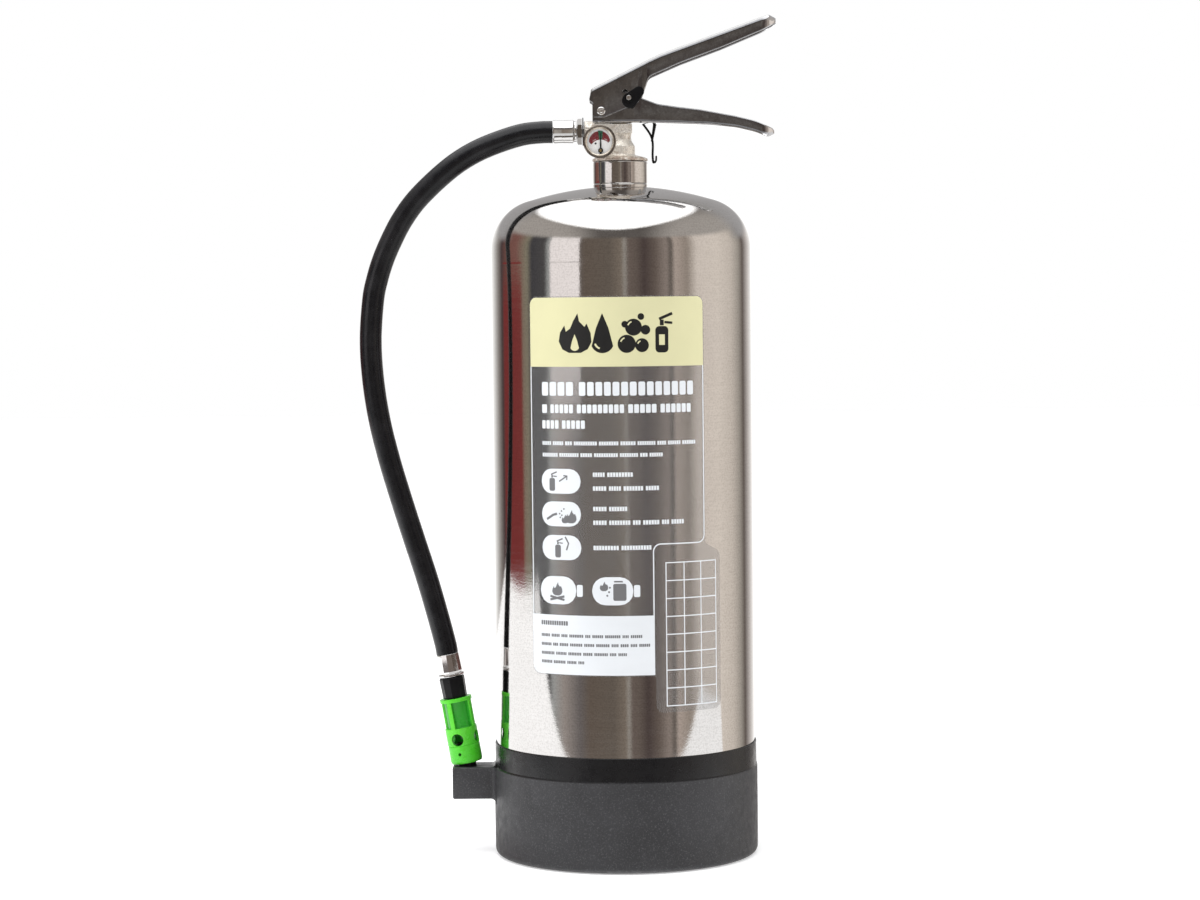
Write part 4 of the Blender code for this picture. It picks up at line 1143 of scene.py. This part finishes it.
def make_gauge():
    """Heights are distances in front of y = 0, on the gauge's own axis."""

    def fit(made, slot, node):
        set_on(face_front(made, GAUGE_X, GAUGE_Z), "root", slot, node)

    inner_r = GAUGE_R - 0.0009
    case = lathe("gauge_cup", [
        (0, 0.0212), (inner_r, 0.0212, 0.0003), (inner_r, 0.0292), (GAUGE_R, 0.0292, 0.0002),
        (GAUGE_R, 0.0205, 0.0010),
        (0.0046, 0.0200, 0.0003), (0.0046, 0.0162, 0.0003), (0.0029, 0.0162), (0.0029, 0.0045), (0, 0.0045),
    ], CHROME, 96)
    fit(case, "bright_chrome", "gauge_case")
    lip_r = 0.0087
    skirt_r = GAUGE_R + GAP
    outer_r = skirt_r + 0.0005
    bezel = lathe("gauge_rim", [
        (lip_r, 0.0296, 0.0001), (lip_r + 0.0008, 0.0303, 0.0004), (outer_r - 0.0006, 0.0301, 0.0005),
        (outer_r, 0.0290, 0.0006), (outer_r, 0.0240, 0.0002),
        (skirt_r, 0.0240), (skirt_r, 0.0295), (lip_r, 0.0294),
    ], RIM, 128, ring=True)
    fit(bezel, "bright_chrome", "gauge_bezel")

    face_r = inner_r - GAP
    back = 0.0262
    dial = lathe(
        "dial_plate", [(0, DIAL_FACE), (face_r, DIAL_FACE), (face_r, back), (0, back)], DIAL_WHITE, 96,
    )
    arbor_hole = disc(NEEDLE_X - GAUGE_X, NEEDLE_Z - GAUGE_Z, 0.0008, 24)
    carve(dial, prism("arbor_hole", arbor_hole, 0.0250, 0.0280))
    fit(dial, "dial_print", "gauge_dial")
    dial_print("dial_red_zones", [zone(0.0072, -54, -7.5), zone(0.0072, 7.5, 43)], DIAL_RED, 0.00001)
    dial_print("dial_green_zone", [zone(0.0076, -7.5, 7.5)], DIAL_GREEN, 0.00001)
    marks = [sector(0.0082, 0.0084, -40, -22), sector(0.0082, 0.0084, 18, 34)]
    dial_print("dial_white_marks", marks, DIAL_WHITE, 0.00005)
    dot = [(x - 0.0034, y + 0.0048) for x, y in disc(0, 0, 0.0007, 16)]
    ticks = [sector(0.0074, 0.0090, a - 1.2, a + 1.2) for a in (-55, 44)]
    dial_print("dial_black_marks", [dot, *ticks], BLACK_INK, 0.00005)

    side = [(0.0006, -0.0030), (0.0005, 0.0050), (0.00018, 0.0118)]
    hand = [(-0.0006, -0.0030)] + side + [(-x, z) for x, z in side[:0:-1]]
    needle = prism("needle_hand", hand, 0.0271, 0.0275, BLACK, 0.00008)
    hub = lathe("hub", [(0, 0.0278), (0.0017, 0.0278, 0.0002), (0.0017, 0.0270), (0, 0.0270)], None, 32)
    arbor = lathe("arbor", [(0, 0.0272), (0.0005, 0.0272), (0.0005, 0.0250), (0, 0.0250)], None, 24)
    carve(needle, hub, arbor, operation="UNION")
    set_on(face_front(needle, NEEDLE_X, NEEDLE_Z), "needle", "black_plastic", "gauge_needle")
    boss = lathe("needle_boss", [
        (0, 0.02785), (0, 0.0282), (0.0007, 0.0281, 0.0002), (0.0009, 0.02785),
    ], BRASS, 48)
    set_on(face_front(boss, NEEDLE_X, NEEDLE_Z), "needle", "brass")

    lens = lathe("lens_window", [
        (0, 0.0290), (0.0040, 0.0289), (0.0070, 0.02875), (face_r, 0.0286), (face_r, 0.0283), (0, 0.0283),
    ], LENS, 96)
    fit(lens, "clear_lens", "gauge_lens")


# Sticker: outlines in millimetres, s along the cylinder from its front line and z from the floor

LABEL_LEFT = -67.5
LABEL_RIGHT = 58.0
LABEL_TOP = 385.6
LABEL_LOW = 133.5
BAND_LOW = 339.5
PANEL_TOP = 173.4
PANEL_RIGHT = 20.2
TEXT_LEFT = -57.6
NOTES_LEFT = -20.4

# How far each layer stands off the cylinder, in metres
FILM_LIFT = 0.00003
INK_LIFT = 0.00008
OVER_INK_LIFT = 0.00014


def box_outline(left, low, right, high, radius=0.0):
    return soften([(left, low, radius), (right, low, radius), (right, high, radius), (left, high, radius)])


def stroke(points, width):
    """A line of even width through the points, as an outline."""
    left = []
    right = []
    for i, point in enumerate(points):
        ahead = Vector(points[min(i + 1, len(points) - 1)])
        behind = Vector(points[max(i - 1, 0)])
        way = (ahead - behind).normalized()
        across = Vector((-way.y, way.x)) * width / 2
        left.append(tuple(Vector(point) + across))
        right.append(tuple(Vector(point) - across))
    return left + right[::-1]


def words(left, low, height, lengths, gap):
    """A row of words, each one a run of plain blocks with no lettering."""
    blocks = []
    space = 0.13 * height
    for length in lengths:
        count = max(1, round((length + space) / (0.62 * height)))
        width = (length + space) / count - space
        for i in range(count):
            start = left + i * (width + space)
            blocks.append(box_outline(start, low, start + width, low + height, height * 0.12))
        left += length + gap
    return blocks


def flame(s, z, size):
    """A plain flame."""
    points = [
        (0.08, 1.00), (0.12, 0.80), (0.26, 0.66), (0.32, 0.74), (0.42, 0.50), (0.44, 0.28), (0.34, 0.10),
        (0.16, 0.01),
        (-0.16, 0.01), (-0.34, 0.10), (-0.44, 0.30), (-0.40, 0.52), (-0.28, 0.70), (-0.24, 0.54),
        (-0.12, 0.62),
        (-0.04, 0.80),
    ]
    return [(s + x * size, z + y * size) for x, y in points]


def drop(s, z, size):
    """A plain water drop."""
    point = [(s + 0.16 * size, z + 0.62 * size), (s, z + size), (s - 0.16 * size, z + 0.62 * size)]
    return arc(s, z + 0.30 * size, 0.30 * size, 205, 335, 16) + point


def bottle(s, z, size):
    """A plain extinguisher: body, neck and lever."""
    body = box_outline(s - 0.17 * size, z, s + 0.17 * size, z + 0.66 * size, 0.10 * size)
    neck = box_outline(s - 0.05 * size, z + 0.68 * size, s + 0.05 * size, z + 0.82 * size)
    lever = stroke([(s - 0.07 * size, z + 0.84 * size), (s + 0.28 * size, z + 0.98 * size)], 0.07 * size)
    grip = stroke([(s + 0.07 * size, z + 0.76 * size), (s + 0.28 * size, z + 0.74 * size)], 0.06 * size)
    return [body, neck, lever, grip]


def print_on(name, outlines, finish, lift):
    """Lay flat outlines round the cylinder as thin ink, raised by lift in metres."""
    bm = bmesh.new()
    for outline in outlines:
        bm.faces.new([bm.verts.new((s, z, 0)) for s, z in outline])
    bm.normal_update()
    bmesh.ops.triangulate(bm, faces=bm.faces[:])
    strip = 2.5
    least = min(v.co.x for v in bm.verts)
    most = max(v.co.x for v in bm.verts)
    for i in range(math.ceil(least / strip), math.floor(most / strip) + 1):
        whole = bm.verts[:] + bm.edges[:] + bm.faces[:]
        bmesh.ops.bisect_plane(bm, geom=whole, plane_co=(i * strip, 0, 0), plane_no=(1, 0, 0))
    radius = BODY_R + lift
    for vert in bm.verts:
        turn = vert.co.x * MM / BODY_R
        vert.co = (radius * math.sin(turn), -radius * math.cos(turn), vert.co.y * MM)
    ink = piece(bm, name, finish, 60)
    skin = ink.modifiers.new("Thickness", "SOLIDIFY")
    skin.thickness = 0.00004
    skin.offset = 1.0
    freeze(ink, 60)
    set_on(ink, "root", "polished_stainless")


def label_frame():
    """The thin white line round the sticker's printed part."""
    line = 0.8
    bend = 5.0
    turn_z = 226.0
    upright = LABEL_RIGHT - line / 2
    inset = PANEL_RIGHT - line / 2
    turn = [(upright, turn_z)] + arc(upright - bend, turn_z, bend, 0, -90, 8)[1:]
    turn += arc(inset + bend, turn_z - 2 * bend, bend, 90, 180, 8) + [(inset, PANEL_TOP)]
    return [
        box_outline(LABEL_LEFT, PANEL_TOP, LABEL_LEFT + line, BAND_LOW),
        box_outline(LABEL_RIGHT - line, turn_z, LABEL_RIGHT, BAND_LOW),
        stroke(turn, line),
    ]


def print_base():
    """The clear film, and the pale band across its top."""
    left = LABEL_LEFT - 0.6
    panel_right = PANEL_RIGHT + 0.6
    right = LABEL_RIGHT + 0.8
    film = soften([
        (left, LABEL_LOW - 0.8, 6), (panel_right, LABEL_LOW - 0.8, 1), (panel_right, 108.0, 5),
        (72.0, 108.0, 6),
        (72.0, 214.0, 6), (right, 220.0, 3), (right, LABEL_TOP + 0.9, 6), (left, LABEL_TOP + 0.9, 6),
    ], True, 6)
    print_on("label_film", [film], LABEL_FILM, FILM_LIFT)
    band = soften([
        (LABEL_LEFT, BAND_LOW), (LABEL_RIGHT, BAND_LOW), (LABEL_RIGHT, LABEL_TOP, 5),
        (LABEL_LEFT, LABEL_TOP, 5),
    ], True, 8)
    print_on("label_band", [band], CREAM_INK, INK_LIFT)


def print_band_icons():
    """A flame, a drop, bubbles and a bottle in the pale band, with the glints on them."""
    low = 348.5
    tall = 26.5
    bubbles = (
        (3.2, 6.0, 6.0), (13.4, 5.0, 4.6), (7.8, 17.0, 5.6), (15.8, 15.2, 3.2), (2.0, 19.0, 2.2),
        (12.8, 24.0, 2.2),
    )
    icons = [flame(-32.0, low, tall), drop(-13.0, low, tall)]
    icons += [disc(s, low + z, r, 32) for s, z, r in bubbles] + bottle(27.0, low, tall)
    print_on("label_band_icons", icons, BLACK_INK, OVER_INK_LIFT)
    glints = ((3.2, 6.0, 4.2), (13.4, 5.0, 3.0), (7.8, 17.0, 3.9))
    lights = [drop(-32.0, low + 1.6, 11.0), stroke(arc(-13.0, low + 8.0, 5.2, 200, 250, 6), 1.2)]
    lights += [stroke(arc(s, low + z, r, 110, 160, 6), 0.9) for s, z, r in glints]
    lights += [box_outline(25.0, low + 5.0, 29.0, low + 12.0)]
    print_on("label_band_lights", lights, CREAM_INK, 0.00020)


def print_white():
    """The white print: rows of blocks, ovals, the low panel, the service grid and the frame."""
    bars = words(TEXT_LEFT, 320.2, 9.2, [24, 79], 4.2)
    bars += words(TEXT_LEFT, 308.6, 5.8, [4, 17, 32, 19, 22], 2.8)
    bars += words(TEXT_LEFT, 298.2, 5.6, [13, 16.5], 2.6)
    bars += words(TEXT_LEFT, 287.2, 2.6, [7, 8, 5, 16, 13, 10, 12, 6, 9, 10], 1.4)
    bars += words(TEXT_LEFT, 279.4, 2.6, [12, 14, 8, 16, 12, 5, 9], 1.4)
    notes = (
        (266.2, [8, 17]), (257.0, [9, 8, 13, 9]), (243.4, [9, 12]), (234.2, [9, 14, 5, 11, 5, 9]),
        (217.4, [17, 20]),
    )
    for z, lengths in notes:
        bars += words(NOTES_LEFT, z, 3.0, lengths, 1.8)
    pills = [box_outline(-58.6, z, -28.9, z + 16.6, 8.2) for z in (254.8, 232.9, 210.4)]
    lefts = (-60.4, -21.6)
    pills += [box_outline(s, 180.6, s + 27.6, 199.4, 9.2) for s in lefts]
    pills += [box_outline(s + 28.0, 186.0, s + 32.2, 194.0, 1.0) for s in lefts]
    left = LABEL_LEFT - 0.3
    panel = soften(
        [(left, LABEL_LOW, 6), (PANEL_RIGHT, LABEL_LOW), (PANEL_RIGHT, PANEL_TOP), (left, PANEL_TOP)]
    )
    grid = [box_outline(28.0, z, 68.0, z + 0.7) for z in np.linspace(112.0, 208.0, 9)]
    grid += [box_outline(s, 112.7, s + 0.7, 208.0) for s in (28.0, 41.1, 54.2, 67.3)]
    print_on("label_white_print", [*bars, *pills, panel], WHITE_INK, INK_LIFT)
    print_on("label_service_grid", grid, WHITE_INK, INK_LIFT)
    print_on("label_border", label_frame(), WHITE_INK, OVER_INK_LIFT)


def print_pictograms():
    """Plain drawings in the ovals: bottles, a hose aimed at flames, a camp fire and a can."""
    small = bottle(-50.0, 256.6, 13.0)
    small += [
        stroke([(-44.5, 263.0), (-39.0, 266.5)], 0.9),
        stroke([(-41.4, 266.9), (-38.6, 266.7), (-38.9, 264.0)], 0.9),
        flame(-36.0, 235.0, 9.0), flame(-40.4, 235.0, 6.0),
        stroke([(-54.5, 237.5), (-49.5, 240.5), (-46.5, 241.3)], 1.6),
    ]
    drops = ((-44.4, 241.4), (-43.0, 243.2), (-42.8, 240.4), (-41.2, 244.6), (-44.0, 238.9))
    small += [disc(s, z, 0.6, 8) for s, z in drops] + bottle(-46.0, 212.0, 13.0)
    small += [
        stroke([(-40.5, 226.0), (-38.0, 221.6), (-39.6, 217.0)], 1.1),
        flame(-47.0, 186.4, 9.0), stroke([(-52.5, 183.6), (-41.5, 186.0)], 1.5),
        stroke([(-52.5, 186.0), (-41.5, 183.6)], 1.5),
        flame(-13.6, 190.0, 6.5), box_outline(-7.4, 183.6, 1.4, 195.0, 1.2),
        stroke([(-6.8, 196.4), (-1.0, 196.4)], 1.0),
    ]
    small += [disc(s, z, 0.7, 8) for s, z in ((-10.2, 189.4), (-11.4, 187.0), (-9.6, 192.4))]
    print_on("label_pictograms", small, GREY_INK, OVER_INK_LIFT)


def print_fine():
    """Rows of small grey blocks on the low panel."""
    left = TEXT_LEFT - 2.6
    gap = 1.4
    random.seed(9)
    fine = words(left, 166.4, 3.0, [21], 1.2)
    for z, total in ((158.6, 72), (152.6, 78), (146.6, 62), (140.8, 30)):
        spent = 0.0
        lengths = []
        while spent < total:
            lengths.append(random.uniform(3.5, 11.0))
            spent += lengths[-1] + gap
        fine += words(left, z, 2.0, lengths, gap)
    print_on("label_fine_print", fine, GREY_INK, OVER_INK_LIFT)


def make_label():
    """The sticker, from its film up to its finest print."""
    print_base()
    print_band_icons()
    print_white()
    print_pictograms()
    print_fine()


# Studio

# What the metal mirrors round the object: (degrees from the camera towards +X, colour)
STUDIO_BANDS = [
    (-180, (1.45, 1.45, 1.45)), (-157, (0.93, 0.92, 0.90)), (-141, (0.33, 0.30, 0.28)),
    (-132, (0.09, 0.06, 0.06)),
    (-120, (0.23, 0.105, 0.085)), (-106, (0.26, 0.125, 0.105)), (-92, (0.30, 0.27, 0.20)),
    (-86, (0.075, 0.072, 0.078)),
    (-71, (0.10, 0.095, 0.095)), (-67, (0.46, 0.47, 0.46)), (-56, (0.42, 0.37, 0.34)),
    (-41, (0.19, 0.17, 0.165)),
    (-32, (0.17, 0.135, 0.11)), (-10, (0.175, 0.145, 0.12)), (0, (0.26, 0.215, 0.175)),
    (3.2, (0.42, 0.39, 0.35)),
    (6, (0.19, 0.15, 0.13)), (12, (0.175, 0.14, 0.12)), (20, (0.095, 0.071, 0.066)),
    (30, (0.177, 0.14, 0.12)),
    (40, (0.36, 0.30, 0.265)), (44.5, (0.14, 0.12, 0.105)), (48, (0.58, 0.49, 0.43)),
    (60, (0.40, 0.34, 0.29)),
    (70, (0.89, 0.80, 0.72)), (94, (0.94, 0.85, 0.76)), (112, (0.80, 0.72, 0.64)), (126, (0.46, 0.42, 0.37)),
    (135, (0.16, 0.13, 0.115)), (150, (0.74, 0.69, 0.66)), (166, (1.20, 1.19, 1.17)),
    (180, (1.45, 1.45, 1.45)),
]


def make_world():
    """White all round, and for reflections a studio of soft boxes and dark gaps with a soft box overhead."""
    world = bpy.data.worlds.new("studio")
    world.use_nodes = True
    bpy.context.scene.world = world
    w = Nodes(world.node_tree)
    w.tree.nodes.clear()
    x, y, z = w.axes(w.node("ShaderNodeTexCoord").outputs["Generated"])
    azimuth = w.combine(x, w.combine(y, -1.0), "ARCTAN2")
    bands = w.node("ShaderNodeValToRGB")
    w.link(w.combine(w.combine(azimuth, math.tau, "DIVIDE"), 0.5, "ADD"), bands.inputs["Fac"])
    stops = bands.color_ramp.elements
    for angle, colour in STUDIO_BANDS[1:-1]:
        stops.new((angle + 180) / 360).color = (*colour, 1.0)
    for i in (0, -1):
        stops[i].color = (*STUDIO_BANDS[i][1], 1.0)
    walls = bands.outputs["Color"]

    def window(source, low, high, soft):
        """One between low and high, fading to nothing over soft on both sides."""
        return w.combine(w.remap(source, low - soft, low), w.remap(source, high + soft, high))

    degrees = w.combine(azimuth, 180 / math.pi)
    curtain = w.combine(window(degrees, -127, -101, 4), w.remap(z, 0.007, 0.001))
    walls = w.mix(w.combine(curtain, 0.9), walls, (0.25, 0.040, 0.040))
    bright = w.combine(window(degrees, -64, -38, 2.5), w.remap(z, -0.085, -0.015))
    walls = w.mix(bright, walls, (1.17, 1.10, 1.08))
    sides = w.remap(w.combine(x, 0.0, "ABSOLUTE"), 0.25, 0.75)
    ceiling = w.mix(sides, (0.15, 0.135, 0.125), (0.50, 0.465, 0.43))
    walls = w.mix(w.remap(z, 0.28, 0.42), walls, ceiling)
    behind = w.combine(w.remap(y, 0.35, 0.75), w.remap(z, 0.10, 0.24))
    walls = w.mix(behind, walls, (0.45, 0.44, 0.44))
    aside = w.combine(w.combine(w.combine(x, 0.10, "ADD"), 0.0, "ABSOLUTE"), 2.0, "POWER")
    overhead = w.remap(w.combine(z, w.combine(aside, 0.36), "SUBTRACT"), 0.60, 0.67)
    studio = w.mix(overhead, walls, (1.8, 1.8, 1.8))
    studio = w.mix(w.remap(z, -0.22, -0.38), studio, (0.78, 0.77, 0.76))
    studio = w.mix(w.remap(z, -0.90, -0.97), studio, (4.0, 4.0, 4.0))
    rays = w.node("ShaderNodeLightPath").outputs
    plain = w.mix(rays["Is Camera Ray"], (0.80, 0.80, 0.81), (1.0, 1.0, 1.0))
    light = w.node("ShaderNodeBackground")
    w.link(w.mix(rays["Is Glossy Ray"], plain, studio), light.inputs["Color"])
    w.link(light.outputs[0], w.node("ShaderNodeOutputWorld").inputs["Surface"])


def soft_box(name, spot, aim, size, power):
    """A rectangular lamp that the metal doesn't mirror."""
    lamp = bpy.data.lights.new(name, "AREA")
    lamp.shape = "RECTANGLE"
    lamp.size = size[0]
    lamp.size_y = size[1]
    lamp.energy = power
    box = bpy.data.objects.new(name, lamp)
    box.location = spot
    box.rotation_euler = (Vector(aim) - Vector(spot)).to_track_quat("-Z", "Y").to_euler()
    box.visible_glossy = False
    bpy.context.scene.collection.objects.link(box)


def stage_sheet(name, low, high, z, colour, glow):
    """A flat glowing sheet under the object, which isn't part of it."""
    bm = bmesh.new()
    corners = [(low[0], low[1]), (high[0], low[1]), (high[0], high[1]), (low[0], high[1])]
    bm.faces.new([bm.verts.new((x, y, z)) for x, y in corners])
    finish = Finish(name, colour, 0.9, Emission_Color=(1.0, 1.0, 1.0, 1.0), Emission_Strength=glow)
    sheet = piece(bm, name, finish)
    return sheet


def make_studio():
    floor = stage_sheet("floor", (-8, -8), (8, 8), -0.0004, (0.90, 0.90, 0.90), 0.34)
    floor.visible_glossy = False
    for name, low, high, glow in (
        ("left_table", (-1.5, -0.28), (-0.15, 1.2), 1.4), ("right_table", (0.15, -0.30), (0.68, -0.02), 1.2),
    ):
        table = stage_sheet(name, low, high, -0.0010, (0.0, 0.0, 0.0), glow)
        for ray in ("camera", "diffuse", "shadow", "transmission"):
            setattr(table, "visible_" + ray, False)
    soft_box("top_box", (-0.35, -0.5, 1.9), (0, 0, 0.3), (1.3, 1.0), 16)
    soft_box("left_box", (-1.5, -0.2, 0.8), (0, 0, 0.25), (0.7, 1.4), 9)
    soft_box("right_box", (1.5, 0.2, 0.8), (0, 0, 0.25), (0.7, 1.4), 9)
    bpy.context.scene.view_settings.view_transform = "Standard"


# CAD nodes that keep their shape

INNER_FINISHES = {
    "neck_o_ring": SEAL_RUBBER,
    "stem_o_ring": SEAL_RUBBER,
    "stem_seal": SEAL_RUBBER,
    "valve_stem": STEEL,
    "siphon_adaptor": BLACK,
    "siphon_strainer": BLACK,
    "siphon_tube": WHITE,
    "gauge_bourdon_tube": BRASS,
    "hose_tail": STEEL,
    "nozzle_jet": BRASS,
}


def finish_inner_nodes():
    for name, finish in INNER_FINISHES.items():
        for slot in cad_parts[name].material_slots:
            slot.material = finish.material


make_camera()
make_hose()
make_cylinder()
make_boot()
make_collar()
make_valve()
make_gland()
make_spring()
make_handle()
make_lever()
make_pin()
make_seal()
make_gauge()
make_label()
finish_inner_nodes()
make_world()
make_studio()
